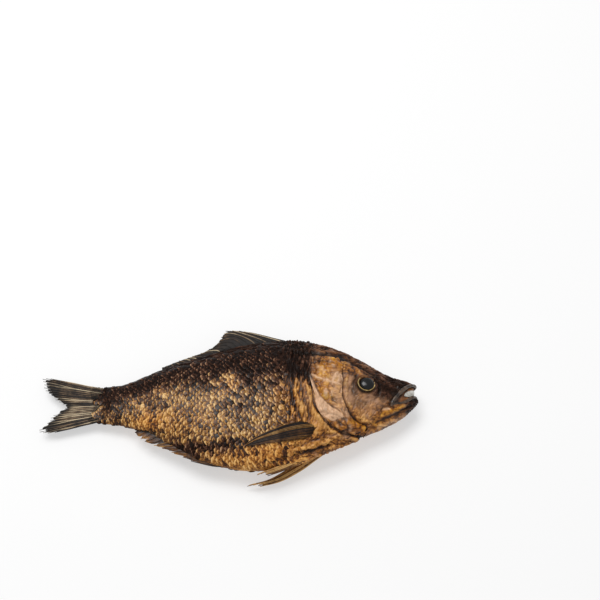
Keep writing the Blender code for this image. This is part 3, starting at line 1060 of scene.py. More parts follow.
ZONES = (
    Patch("gold", (-0.214, -0.148), (12, 7), 0.9), Patch("gold", (-0.255, 0.025), (6, 5), 0.5),
    Patch("gold", (-0.190, 0.067), (5, 5), 0.6), Patch("gold", (-0.002, 0.055), (7, 6), 0.7),
    Patch("gold", (0.071, 0.112), (6, 5), 0.5), Patch("gold", (0.130, -0.013), (5, 9), 0.5),
    Patch("gold", (0.050, -0.470), (40, 8), 0.7), Patch("gold", (0.150, -0.420), (22, 7), 0.8),
    Patch("gold", (-0.120, -0.200), (22, 9), 0.45), Patch("gold", (0.187, -0.120), (7, 14), 0.8),
    Patch("gold", (0.345, -0.250), (16, 7), 0.9), Patch("gold", (0.370, -0.150), (12, 8), 0.7),
    Patch("gold", (0.290, -0.340), (24, 6), 0.6), Patch("gold", (0.327, 0.180), (6, 6), 0.7),
    Patch("char", (-0.185, -0.060), (8, 4), 0.45), Patch("char", (0.035, -0.080), (9, 6), 0.5),
    Patch("char", (0.026, -0.158), (7, 4), 0.4), Patch("char", (-0.230, 0.000), (7, 4), 0.5),
    Patch("char", (-0.304, 0.040), (8, 6), 0.7), Patch("char", (-0.320, -0.060), (9, 8), 0.55),
    Patch("char", (-0.270, 0.090), (14, 7), 0.45), Patch("char", (-0.345, 0.010), (12, 16), 0.2),
    Patch("char", (0.014, -0.350), (9, 3), 0.8), Patch("char", (-0.038, -0.388), (18, 3.2), 0.75, -4),
    Patch("char", (-0.104, -0.378), (16, 3), 0.75, -14), Patch("char", (-0.172, -0.326), (13, 2.6), 0.8, -22),
    Patch("char", (0.160, 0.200), (16, 24), 0.25), Patch("char", (0.120, -0.010), (6, 14), 0.25),
    Patch("char", (0.440, 0.060), (13, 13), 0.70), Patch("char", (0.410, 0.090), (10, 9), 0.35),
    Patch("char", (0.395, 0.050), (6, 8), 0.4), Patch("char", (0.330, 0.090), (6, 8), 0.4),
    Patch("pink", (0.314, -0.048), (5, 5), 0.6), Patch("pink", (0.372, -0.053), (6, 4), 0.6),
    Patch("pink", (0.353, -0.121), (6, 5), 0.5), Patch("pink", (0.398, -0.030), (6, 5), 0.4),
    Patch("pink", (0.310, 0.040), (4, 8), 0.5), Patch("pink", (0.335, -0.030), (4, 4), 0.3),
    Patch("pink", (0.200, -0.080), (3, 8), 0.4), Patch("stain", (0.320, -0.010), (3, 4), 0.4),
    Patch("stain", (0.345, -0.090), (4, 3), 0.4), Patch("stain", (0.395, -0.080), (5, 3), 0.35),
)


class Marks:
    """Everything that the skin shows at a place: folds, wrinkles, the eye's socket, smoke colours, and
    painted shade and highlight.
    """

    EYE_PLACE = (0.356, 0.055)
    NOSTRIL = (0.440, 0.078)
    SOCKET = 5.4
    LID = 7.0
    FIN_BASE = (0.228, -0.262)
    CHAMBER = 0.9 * MM
    SEED = 5
    NOISE_SEEDS = (11, 12, 13)

    def __init__(self, form: FishForm) -> None:
        """Args:
        form: the fish's form.
        """
        self.form = form
        self.blotches, self.creases, self.grain = (Noise(seed) for seed in self.NOISE_SEEDS)
        self.chamber = form.plan(COVER_REAR + COVER_FRONT[::-1])

    def at(self, points: np.ndarray) -> Relief:
        """Works out the marks.

        Args:
            points: (x, y, z) rows on the smooth form, in metres.

        Returns:
            Heights and fields at those points.
        """
        relief = Relief(self.form, points, self.SEED)
        self.smoke(relief)
        for fold in FOLDS:
            relief.crease(fold)
        for zone in ZONES:
            relief.patch(zone)
        self.wrinkle(relief)
        self.features(relief)
        relief.settle()
        return relief

    def smoke(self, relief: Relief) -> None:
        """Chars the back, the top of the head and the tail root, and tans the rest."""
        form, plan = self.form, relief.plan
        place, depth = form.share(plan[:, 0]), (plan[:, 1] - form.datum) / form.depth
        blotch = self.blotches.layered(relief.points, 18 * MM, 3)
        trunk = smoothstep(-0.08, 0.62, form.level(plan[:, 0], plan[:, 1]) + 0.40 * blotch)
        dark_top = np.array(DARK_TOP)
        above = depth - np.interp(place, dark_top[:, 0], dark_top[:, 1])
        top = smoothstep(-0.060, 0.070, above + 0.06 * blotch)
        head = smoothstep(0.190, 0.240, place)
        relief.fields["char"] += 1.20 * trunk * (1 - head) + 0.72 * top * head
        relief.fields["gold"] += 0.42 * head * (1 - top) + 0.9 * head * top
        relief.fields["calm"] += head
        for field, shift, amount in (("stain", 0.0, 0.42), ("pink", 0.4, 0.65), ("gold", 0.8, 0.6)):
            spots = self.blotches.layered(relief.points + shift, 5.5 * MM, 2)
            relief.fields[field] += amount * smoothstep(0.05, 0.45, spots) * head * (1 - top)

    def wrinkle(self, relief: Relief) -> None:
        """Draws the skin into fine wrinkles, across on the shoulder and along on the head's top."""
        form, plan = self.form, relief.plan
        place, level = form.share(plan[:, 0]), form.level(plan[:, 0], plan[:, 1])
        shoulder = smoothstep(0.110, 0.165, place) * (1 - smoothstep(0.205, 0.235, place))
        shoulder *= smoothstep(-0.62, -0.45, level)
        head = smoothstep(0.205, 0.240, place)
        top = head * smoothstep(0.50, 0.80, level)
        cheek = head * (1 - smoothstep(0.50, 0.80, level))
        belly = smoothstep(0.090, 0.160, place) * (1 - smoothstep(-0.66, -0.50, level))
        back = smoothstep(0.70, 0.84, level) * (1 - head) * smoothstep(-0.28, -0.20, place)
        relief.fields["gold"] += 0.5 * shoulder
        self.lines(relief, (2.2, 9.0, 9.0), 0.95, shoulder, 0.60, 0.0)
        self.lines(relief, (4.0, 5.0, 5.0), 0.60, shoulder, 0.45, 3.1)
        self.lines(relief, (12.0, 2.0, 2.6), 0.55, back, 0.60, 1.7)
        self.lines(relief, (12.0, 2.2, 3.0), 0.85, top, 0.60, 5.2)
        self.lines(relief, (3.2, 3.6, 4.5), 0.38, cheek, 0.40, 7.7)
        self.lines(relief, (7.0, 1.7, 2.2), 0.24, cheek, 0.25, 2.6)
        relief.fields["gold"] += 0.4 * belly
        self.lines(relief, (11.0, 2.2, 2.8), 0.62, belly, 0.32, 9.4)
        relief.height += 0.20 * MM * self.grain.layered(relief.points, 1.9 * MM, 2)
        relief.height += 0.45 * MM * self.grain.layered(relief.points + 1.0, 9 * MM, 2) * (1 - 0.5 * head)

    def lines(self, relief: Relief, spacing: tuple[float, float, float], depth: float,
              where: np.ndarray, stain: float, shift: float) -> None:
        """Presses long thin lines where stretched noise crosses zero.

        Args:
            relief: what is changed.
            spacing: the noise's spacing along X, Y and Z, in millimetres.
            depth: how deep, in millimetres.
            where: a mask, 0 to 1.
            stain: how much painted shade darkens the lines; a share of it paints highlight in pink on the
                ridges between them.
            shift: moves the pattern, so that two sets of lines differ.
        """
        value = self.creases.layered(relief.points / (np.array(spacing) * MM) + shift, 1.0, 3)
        line = np.exp(-((value / 0.11) ** 2)) * where
        relief.height += depth * MM * (0.5 * np.minimum(np.abs(value) / 0.35, 1.0) * where - line)
        # Painted shade in the lines, and painted highlight in pink on the ridges between them.
        relief.fields["stain"] = np.maximum(relief.fields["stain"], stain * line)
        ridge = where * smoothstep(0.22, 0.45, value)
        relief.fields["pink"] = np.maximum(relief.fields["pink"], 0.35 * stain * ridge)

    def features(self, relief: Relief) -> None:
        """Sinks the eye's socket, the nostril and the gill chamber, and raises the pectoral fin's base.
        Painted shade darkens the socket's rim, the nostril's pit and the skin under the gill cover.
        """
        eye = self.form.plan((self.EYE_PLACE,))[0]
        away = np.linalg.norm((relief.points[:, :2] - eye) / MM, axis=1)
        socket = 1 - smoothstep(self.SOCKET - 0.9, self.SOCKET, away)
        lid = np.exp(-(((away - self.LID) / 1.0) ** 2))
        relief.height = relief.height * smoothstep(3.5, 7.5, away) - 1.4 * MM * socket + 0.75 * MM * lid
        relief.height -= 0.45 * MM * np.exp(-(((away - self.LID - 1.9) / 0.7) ** 2))
        # Painted shade round the socket's rim, under the iris ring.
        socket_rim_shade = 0.75 * np.exp(-(((away - 5.3) / 0.5) ** 2))
        relief.fields["stain"] = np.maximum(relief.fields["stain"], socket_rim_shade)
        relief.fields["char"] += 0.45 * np.exp(-(((away - 7.0) / 1.9) ** 2))
        pit = relief.oval(self.NOSTRIL, (1.2, 1.0))
        rim = relief.oval(self.NOSTRIL, (2.4, 2.1))
        relief.height += (0.6 * rim - 1.5 * pit) * MM
        relief.fields["gold"] += 0.9 * (rim - pit)
        relief.fields["char"] -= 0.8 * rim
        # Painted shade in the nostril's pit.
        relief.fields["stain"] += 0.8 * pit
        covered = inside_outline(relief.points[:, :2], self.chamber)
        relief.height[covered] -= self.CHAMBER
        # Painted shade on the skin under the gill cover, where it stands off.
        relief.fields["stain"][covered] = 0.8
        knob = relief.oval(self.FIN_BASE, (4.5, 5.5), 20)
        relief.height += 1.3 * MM * knob
        relief.fields["gold"] += 0.5 * knob


# ---------------------------------------------------------------------------------------------
# Trunk and head
# ---------------------------------------------------------------------------------------------


@dataclass
class BodySkin:
    """Trunk and head as one closed skin with every fold pressed into it. The head ends at the mouth."""

    form: FishForm
    marks: Marks
    trunk_rings: int = 112
    head_rings: int = 190
    around: int = 276
    head_start: float = 0.100
    gather: float = 0.20
    wall_steps: int = 12
    wall_depth: float = 5 * MM
    floor_gap: float = 0.1 * MM

    MOUTH_SEARCH = (0.300, 0.496)
    SEARCH_STEPS = 30
    HIDDEN_TINTS = {"char": 0.4, "gold": 0.6, "stain": 0.35}

    def angles(self) -> np.ndarray:
        """Angles round the section, closer together on the back and the belly."""
        even = np.linspace(0.0, FULL_TURN, self.around, endpoint=False)
        angle = even - self.gather * np.sin(2 * even)
        return np.where(angle > math.pi, angle - FULL_TURN, angle)

    def ends(self, angle: np.ndarray) -> np.ndarray:
        """Where each line of skin meets the mouth, as shares of the length."""
        mouth = np.array(MOUTH_END)
        low, high = (np.full(len(angle), place) for place in self.MOUTH_SEARCH)
        for _ in range(self.SEARCH_STEPS):
            middle = (low + high) / 2
            depth = (self.form.surface(self.form.x(middle), angle)[:, 1] - self.form.datum) / self.form.depth
            inside = middle < np.interp(depth, mouth[:, 1], mouth[:, 0])
            low, high = np.where(inside, middle, low), np.where(inside, high, middle)
        return low

    def build(self, finish: Material) -> bpy.types.Object:
        """Builds the skin.

        Args:
            finish: the skin's material.

        Returns:
            The piece.
        """
        form, angle = self.form, self.angles()
        trunk = np.linspace(form.STATIONS[0, 0], self.head_start, self.trunk_rings)[:, None]
        share = np.linspace(0.0, 1.0, self.head_rings + 1)[1:, None]
        head = self.head_start + (self.ends(angle) - self.head_start)[None] * share
        place = form.x(np.concatenate([trunk + 0 * angle[None], head]))
        turn = np.broadcast_to(angle, place.shape)
        base = form.surface(place, turn).reshape(-1, 3)
        out = form.outward(place, turn).reshape(-1, 3)
        relief = self.marks.at(base)
        skin = base + out * relief.height[:, None]
        fields = dict(relief.fields)
        count, last = self.around, len(place) - 1
        faces = [face[::-1] for face in grid_faces(last + 1, count, closed=True)]
        wall, wall_faces = self.wall(skin, last * count)
        tail = skin[:count].mean(axis=0, keepdims=True)
        faces += [(k, (k + 1) % count, len(skin)) for k in range(count)]
        faces += wall_faces
        points = np.concatenate([skin, tail, wall])
        for name, values in fields.items():
            tint = self.HIDDEN_TINTS.get(name, 0.0)
            fields[name] = np.concatenate([values, np.full(len(points) - len(skin), tint)])
        points[:, 2] = np.maximum(points[:, 2], self.floor_gap)
        return add_object("trunk_and_head_skin", points, faces, fields, finish)

    def wall(self, skin: np.ndarray, start: int) -> tuple[np.ndarray, list]:
        """The lining at the back of the mouth, strip by strip from the right edge to the left.

        Args:
            skin: the skin's points.
            start: index of the last ring's first point.

        Returns:
            Its own points and its faces.
        """
        half, steps = self.around // 2, self.wall_steps
        own_start = len(skin) + 1
        points, rows = [], [[start] * (steps + 2)]
        for k in range(1, half):
            right, left = skin[start + k], skin[start + self.around - k]
            row = [start + k]
            for step in range(1, steps + 1):
                share = step / (steps + 1)
                pull = self.wall_depth * math.sin(math.pi * share) * math.sin(math.pi * k / half)
                row.append(own_start + len(points))
                points.append(right + (left - right) * share - np.array([pull, 0.0, 0.0]))
            rows.append(row + [start + self.around - k])
        rows.append([start + half] * (steps + 2))
        faces = []
        for upper, lower in zip(rows, rows[1:]):
            for k in range(steps + 1):
                corners = [upper[k], lower[k], lower[k + 1], upper[k + 1]]
                face = tuple(dict.fromkeys(corners))
                if len(face) > 2:
                    faces.append(face)
        return np.array(points), faces


# ---------------------------------------------------------------------------------------------
# Scales
# ---------------------------------------------------------------------------------------------


@dataclass
class ScaleCoat:
    """Overlapping scales in staggered rows over one flank, copied onto points by Geometry Nodes."""

    form: FishForm
    marks: Marks
    side: Side
    pitch: float = 3.6 * MM
    row_pitch: float = 3.9 * MM
    length: float = 5.6 * MM
    width: float = 5.2 * MM
    tail_share: float = 0.66
    lift: float = 0.10 * MM
    sink: float = 0.18 * MM
    tilt: float = 0.13
    front: float = 0.200
    rear: float = -0.372
    lowest: float = -0.96
    highest: float = 0.80
    highest_at_tail: float = 0.90
    floor_gap: float = 0.15 * MM
    skew: float = 0.42
    seed: int = 21

    LINE_POINTS = 240
    MOST_ROWS = 40

    def places(self) -> tuple[np.ndarray, np.ndarray, np.ndarray]:
        """Where the scales go.

        Returns:
            Place along, angle round and size share of each scale.
        """
        form, random = self.form, np.random.default_rng(self.seed + self.side.value)
        limit = np.array(SCALE_FRONT)
        angles = np.linspace(0.03, math.pi - 0.03, self.LINE_POINTS)
        found = []
        along, column = form.x(self.rear), 0
        while along < form.x(self.front):
            share = form.share(along)
            shrink = self.tail_share + (1 - self.tail_share) * float(smoothstep(-0.32, -0.10, share))
            line = form.surface(np.full(self.LINE_POINTS, along), angles * self.side.value)
            arc = np.concatenate([[0.0], np.cumsum(np.linalg.norm(np.diff(line, axis=0), axis=1))])
            middle = np.interp(math.pi / 2, angles, arc)
            reach = self.row_pitch * shrink
            rows = np.arange(-self.MOST_ROWS, self.MOST_ROWS + 1) + 0.5 * (column % 2)
            wanted = middle + rows * reach + random.normal(0, 0.05, len(rows)) * reach
            for spot in wanted[(wanted > 0.2 * MM) & (wanted < arc[-1] - 0.2 * MM)]:
                place = along + random.normal(0, 0.10) * self.pitch
                angle = float(np.interp(spot, arc, angles))
                depth = (form.surface(np.array([place]), np.array([angle]))[0, 1] - form.datum) / form.depth
                room = float(np.interp(depth, limit[:, 1], limit[:, 0]) - form.share(place))
                level = float(form.level(np.array([place]), np.array([form.y(depth)]))[0])
                highest = np.interp(share, (-0.26, -0.18), (self.highest_at_tail, self.highest))
                ragged = self.rear + 0.009 * (1.4 + math.sin(7 * angle + 1.3) + random.normal(0, 0.5))
                if share > ragged and room > 0.004 and self.lowest < level < highest + random.normal(0, 0.03):
                    small = 0.55 + 0.45 * float(smoothstep(0.0, 0.05, room))
                    size = shrink * random.uniform(0.80, 1.20) * small
                    found.append((place, angle * self.side.value, size))
            along += self.pitch * shrink / 2
            column += 1
        return tuple(np.array(found).T)

    def carriers(self) -> bpy.types.Object:
        """Points that carry each scale's place, directions, size and colour."""
        place, angle, size = self.places()
        base, out = self.form.surface(place, angle), self.form.outward(place, angle)
        relief = self.marks.at(base)
        random = np.random.default_rng(self.seed)
        back = unit(base - self.form.surface(place + 0.5 * MM, angle))
        lean = self.tilt * random.uniform(0.4, 1.6, (len(place), 1))
        normal = out - back * lean
        fields = {name: values for name, values in relief.fields.items() if name != "tone"}
        char = fields["char"] + random.normal(0.02, 0.22, len(place))
        fields["char"] = np.clip(char, 0, Relief.MOST_CHAR)
        fields["size"] = size
        fields["mood"] = random.normal(0, 1, len(place))
        sink = self.sink * (smoothstep(0.5, 1.1, relief.fields["char"]) + smoothstep(0.8, 0.6, size))
        points = base + out * (relief.height + self.lift - sink)[:, None]
        points[:, 2] = np.maximum(points[:, 2], self.floor_gap + 0.9 * MM * np.abs(back[:, 2]))
        return add_object("scale_carriers", points, [], {**fields, "outward": normal, "tailward": back})

    def plate(self) -> bpy.types.Object:
        """One scale: a thin domed leaf over one flat face, with a strip of painted highlight just inside its
        rear rim, a line of painted shade round the rim, and the rest a little darker.
        """
        along = np.array([-0.97, -0.35, 0.28, 0.56, 0.74, 0.90, 1.0])[:, None]
        across = np.array([-1.0, -0.88, -0.62, -0.2, 0.2, 0.62, 0.88, 1.0])[None]
        half = np.sqrt(1 - np.minimum(np.abs(along), 0.985) ** 2.2)
        x = along - 0.26 * np.maximum(along, 0) ** 2 * across**2
        dome = 0.075 * (1 - across**2) * half - 0.02 * along**2
        points = np.stack([x * self.length / 2, half * across * self.width / 2, dome * self.width], axis=-1)
        # Painted shade along the rim, for the gap under and between the scales.
        edge = np.maximum(smoothstep(0.82, 0.98, along), smoothstep(0.9, 1.0, np.abs(across)))
        # Painted highlight: a pale strip just inside the rear rim, a little darker elsewhere.
        glint_band = np.exp(-(((along - 0.70 + 0.12 * across) / 0.15) ** 2)) * (1 - 0.6 * across**2)
        tone = (1.6 * glint_band - 0.24 * (1 - glint_band)).ravel()
        shape = (along.size, across.size)
        faces = grid_faces(*shape) + [tuple(rim_of(*shape))]
        return add_object("scale_plate", points.reshape(-1, 3), faces, {"edge": edge.ravel(), "tone": tone})

    def tree(self, plate: bpy.types.Object, finish: Material) -> bpy.types.NodeTree:
        """The Geometry Nodes tree that lays the scales.

        Args:
            plate: one scale.
            finish: the scales' material.

        Returns:
            The tree, with the named inputs Skew and Seed.
        """
        tree = start_tree("lay_scales", {"Skew": "Float", "Seed": "Int"})
        given = add_node(tree, "NodeGroupInput").outputs
        outward, tailward = (carried(tree, title, "FLOAT_VECTOR") for title in ("outward", "tailward"))
        turned = add_node(tree, "FunctionNodeAxesToRotation", {"primary_axis": "Z", "secondary_axis": "X"},
                          {0: outward, 1: tailward}).outputs[0]
        least = add_node(tree, "ShaderNodeMath", {"operation": "MULTIPLY"}, {0: given["Skew"], 1: -1.0})
        skew = add_node(tree, "FunctionNodeRandomValue", {"data_type": "FLOAT"},
                        {2: least.outputs[0], 3: given["Skew"], "Seed": given["Seed"]}).outputs[1]
        spin = add_node(tree, "FunctionNodeAxisAngleToRotation", None,
                        {"Axis": (0.0, 0.0, 1.0), "Angle": skew}).outputs[0]
        rotation = add_node(tree, "FunctionNodeRotateRotation", {"rotation_space": "LOCAL"},
                            {0: turned, 1: spin}).outputs[0]
        source = add_node(tree, "GeometryNodeObjectInfo", None, {"Object": plate}).outputs["Geometry"]
        links = {"Points": given["Geometry"], "Instance": source, "Rotation": rotation,
                 "Scale": carried(tree, "size")}
        copies = add_node(tree, "GeometryNodeInstanceOnPoints", None, links).outputs[0]
        end_tree(tree, copies, finish)
        return tree

    def build(self, finish: Material) -> bpy.types.Object:
        """Lays the scales.

        Args:
            finish: the scales' material.

        Returns:
            The piece, a plain mesh.
        """
        carriers, plate = self.carriers(), self.plate()
        tree = self.tree(plate, finish)
        name = f"{self.side.name.lower()}_flank_scales"
        made = applied(carriers, tree, {"Skew": self.skew, "Seed": self.seed}, name)
        for helper in (carriers, plate):
            bpy.data.objects.remove(helper)
        return made


def applied(source: bpy.types.Object, tree: bpy.types.NodeTree, inputs: dict,
            name: str) -> bpy.types.Object:
    """Runs a Geometry Nodes tree on an object and keeps the result as a plain mesh.

    Args:
        source: the object.
        tree: the tree.
        inputs: values by input name.
        name: the new piece's name.

    Returns:
        The new piece.
    """
    modifier = source.modifiers.new("nodes", "NODES")
    modifier.node_group = tree
    for item in tree.interface.items_tree:
        if item.item_type == "SOCKET" and item.in_out == "INPUT" and item.name in inputs:
            modifier[item.identifier] = inputs[item.name]
    graph = bpy.context.evaluated_depsgraph_get()
    mesh = bpy.data.meshes.new_from_object(source.evaluated_get(graph), preserve_all_data_layers=True,
                                           depsgraph=graph)
    mesh.name = name
    source.modifiers.remove(modifier)
    return placed(name, mesh)


# ---------------------------------------------------------------------------------------------
# Gill covers, eyes and jaws
# ---------------------------------------------------------------------------------------------


@dataclass
class GillCover:
    """One gill cover: a thin plate of bone under smoked skin, its rear edge standing off the shoulder."""

    form: FishForm
    marks: Marks
    side: Side
    rows: int = 150
    columns: int = 96
    thickness: float = 1.0 * MM
    least: float = 0.35 * MM
    sunk: float = 0.5 * MM
    rise: float = 0.9 * MM
    floor_gap: float = 0.15 * MM
    seed: int = 6

    # Grooves here hold painted shade; the pink on the ridges, the first three a Y among them, is painted
    # highlight, and the gold ridge is partly painted highlight.
    RIDGES = (
        Crease(((0.212, 0.123), (0.240, 0.083), (0.267, 0.056), (0.290, 0.047)), 1.1, -0.55, pink=0.95),
        Crease(((0.267, 0.060), (0.275, 0.118), (0.285, 0.150)), 0.9, -0.45, pink=0.8),
        Crease(((0.280, 0.052), (0.288, 0.100), (0.291, 0.130)), 0.7, -0.4, pink=0.8),
        Crease(((0.250, 0.262), (0.268, 0.268), (0.288, 0.262)), 0.9, -0.4, gold=1.0),
        Crease(((0.226, 0.232), (0.250, 0.240), (0.274, 0.228)), 0.9, 0.45, stain=0.55),
        Crease(((0.240, 0.200), (0.262, 0.205), (0.282, 0.180)), 0.9, 0.35, stain=0.4),
        Crease(MEMBRANE_LINE, 0.75, 0.55, stain=0.5),
        Crease(((0.214, 0.080), (0.226, -0.010), (0.243, -0.076), (0.262, -0.125), (0.280, -0.165)),
               0.7, -0.35, pink=1.0),
        Crease(((0.226, -0.160), (0.262, -0.170), (0.300, -0.200)), 0.8, 0.35, stain=0.35),
        Crease(((0.262, -0.190), (0.285, -0.225), (0.300, -0.245)), 0.8, 0.4, stain=0.4),
        Crease(((0.274, -0.180), (0.282, -0.215), (0.276, -0.235)), 0.7, 0.3, stain=0.35),
        Crease(((0.262, -0.010), (0.266, -0.060), (0.280, -0.100)), 0.7, 0.3, stain=0.5),
    )
    COLOURS = (
        Patch("gold", (0.235, 0.180), (9, 9), 0.9), Patch("gold", (0.270, 0.200), (9, 7), 0.9),
        Patch("gold", (0.245, 0.020), (5, 10), 0.5), Patch("gold", (0.310, -0.235), (15, 5), 0.9),
        Patch("gold", (0.276, -0.215), (7, 4), 0.6), Patch("pink", (0.280, 0.110), (5, 5), 0.55),
        Patch("pink", (0.280, -0.020), (5, 8), 0.45), Patch("pink", (0.282, -0.150), (6, 5), 0.5),
        Patch("stain", (0.271, -0.065), (2.5, 2.5), 0.45), Patch("stain", (0.230, 0.245), (5, 3), 0.5),
    )

    def build(self, finish: Material) -> bpy.types.Object:
        """Builds the cover.

        Args:
            finish: its material.

        Returns:
            The piece.
        """
        front = through(self.form.plan(COVER_FRONT), self.rows)
        rear = through(self.form.plan(COVER_REAR), self.rows)
        share = np.linspace(0.0, 1.0, self.columns)
        back = 1 - (1 - share) ** 1.3
        plan = front[:, None] + (rear - front)[:, None] * back[None, :, None]
        flat = plan.reshape(-1, 2)
        relief = self.paint(flat)
        place, turn = flat[:, 0], self.form.angle_of(flat[:, 0], flat[:, 1], self.side)
        base, out = self.form.surface(place, turn), self.form.outward(place, turn)
        down = np.linspace(0.0, 1.0, self.rows)[:, None]
        ends = smoothstep(0.0, 0.10, down) * (1 - 0.75 * smoothstep(0.86, 1.0, down))
        edge = smoothstep(0.0, 0.30, back)[None] * ends
        rolled = 0.55 * MM * smoothstep(0.94, 1.0, back)[None]
        puff = 0.5 * MM * np.sin(math.pi * back)[None] * ends
        lift = (-self.sunk + (self.sunk + self.rise) * edge + puff - rolled).ravel()
        top = base + out * (lift + relief.height)[:, None]
        unrolled = lift + rolled.repeat(self.rows, axis=0).ravel()
        under = base + out * np.minimum(lift - self.least, unrolled - self.thickness)[:, None]
        for points in (top, under):
            points[:, 2] = np.maximum(points[:, 2], self.floor_gap)
        shape = (self.rows, self.columns)
        fields = {name: values.reshape(shape) for name, values in relief.fields.items()}
        name = f"{self.side.name.lower()}_gill_cover"
        return shell(name, top.reshape(*shape, 3), under.reshape(*shape, 3), fields, finish)

    def paint(self, plan: np.ndarray) -> Relief:
        """Folds and smoke colours of the cover.

        Args:
            plan: (x, y) rows in metres.

        Returns:
            Heights and fields at those places.
        """
        form = self.form
        relief = Relief(form, form.lifted(plan, self.side, 0.0), self.seed)
        self.marks.smoke(relief)
        relief.fields["gold"] += 0.15
        for ridge in self.RIDGES:
            relief.crease(ridge)
        for zone in self.COLOURS + ZONES:
            relief.patch(zone)
        flap = form.plan(MEMBRANE_LINE + ((0.300, -0.185), (0.262, -0.215), (0.228, -0.165), (0.216, -0.100),
                                          (0.208, -0.036), (0.200, 0.042), (0.196, 0.130)))
        line, _ = curve_distance(relief.plan, through(form.plan(MEMBRANE_LINE), Relief.CURVE_POINTS))
        pale = inside_outline(relief.plan, flap) * smoothstep(0.0, 1.0 * MM, line)
        relief.fields["pink"] = np.maximum(relief.fields["pink"], pale)
        relief.fields["gold"] *= 1 - 0.6 * pale
        self.marks.lines(relief, (6.0, 9.0, 9.0), 0.55, np.ones(len(plan)), 0.22, 2.2)
        self.marks.lines(relief, (2.0, 7.0, 7.0), 0.26, pale, 0.12, 6.1)
        self.marks.lines(relief, (9.0, 3.2, 4.0), 0.34, 1 - pale, 0.15, 8.4)
        relief.height += 0.25 * MM * self.marks.grain.layered(relief.points, 7 * MM, 2)
        relief.height += 0.06 * MM * self.marks.grain.layered(relief.points, 1.6 * MM, 2)
        relief.settle()
        return relief


@dataclass
class Eye:
    """One eye: a dried black ball with a thin golden ring of iris round it."""

    form: FishForm
    side: Side
    centre: Vector
    radius: float
    segments: int = 64
    rings: int = 40
    width: float = 5.0 * MM
    dome: float = 2.5 * MM
    ring_radius: float = 5.30 * MM
    ring_width: float = 0.70 * MM
    ring_points: int = 90
    dent: float = 0.10 * MM
    ball_seed: int = 31
    ring_seed: int = 32

    def build(self, ball: Material, iris: Material) -> Pieces:
        """Builds the eye.

        Args:
            ball: the eyeball's material.
            iris: the ring's material.

        Returns:
            The ball and the ring.
        """
        rise = np.linspace(0.0, math.pi, self.rings + 1)[1:-1]
        turn = np.linspace(0.0, FULL_TURN, self.segments, endpoint=False)
        shape = np.stack([
            np.sin(rise)[:, None] * np.cos(turn), np.sin(rise)[:, None] * np.sin(turn),
            np.cos(rise)[:, None] + 0 * turn,
        ], axis=-1).reshape(-1, 3)
        shape = np.concatenate([shape, [[0, 0, 1.0], [0, 0, -1.0]]])
        centre = np.array(self.centre)
        x, y = centre[:1], centre[1:2]
        out = self.form.outward(x, self.form.angle_of(x, y, self.side))[0]
        ahead = unit(np.cross(np.array([0.0, 1.0, 0.0]), out))
        frame_axes = np.stack([ahead, np.cross(out, ahead), out])
        radii = np.array([self.width, self.width, self.dome]) + self.dent * Noise(self.ball_seed).layered(
            shape * 3 * MM, 3 * MM, 2)[:, None]
        points = centre + out * (self.radius - self.dome) + (shape * radii) @ frame_axes
        faces = grid_faces(self.rings - 1, self.segments, closed=True)
        faces += tips(self.segments, (self.rings - 2) * self.segments, (self.rings - 1) * self.segments)
        title = self.side.name.lower()
        eyeball = add_object(f"{title}_eyeball", points, faces, finish=ball)
        angle = np.linspace(0.0, FULL_TURN, self.ring_points, endpoint=False)
        plan = centre[:2] + self.ring_radius * np.stack([np.cos(angle), 0.97 * np.sin(angle)], axis=1)
        wave = Noise(self.ring_seed).at(np.stack([3 * np.cos(angle), 3 * np.sin(angle), 0 * angle], axis=1))
        path = self.form.lifted(plan, self.side, 0.10 * MM + 0.15 * MM * wave)
        turned = self.form.angle_of(plan[:, 0], plan[:, 1], self.side)
        up = self.form.outward(plan[:, 0], turned)
        width = self.ring_width * (1 + 0.35 * wave)
        ring = sweep(f"{title}_iris_rim", path, up, width, width * 1.1, iris, sides=10, joined=True)
        return eyeball, ring


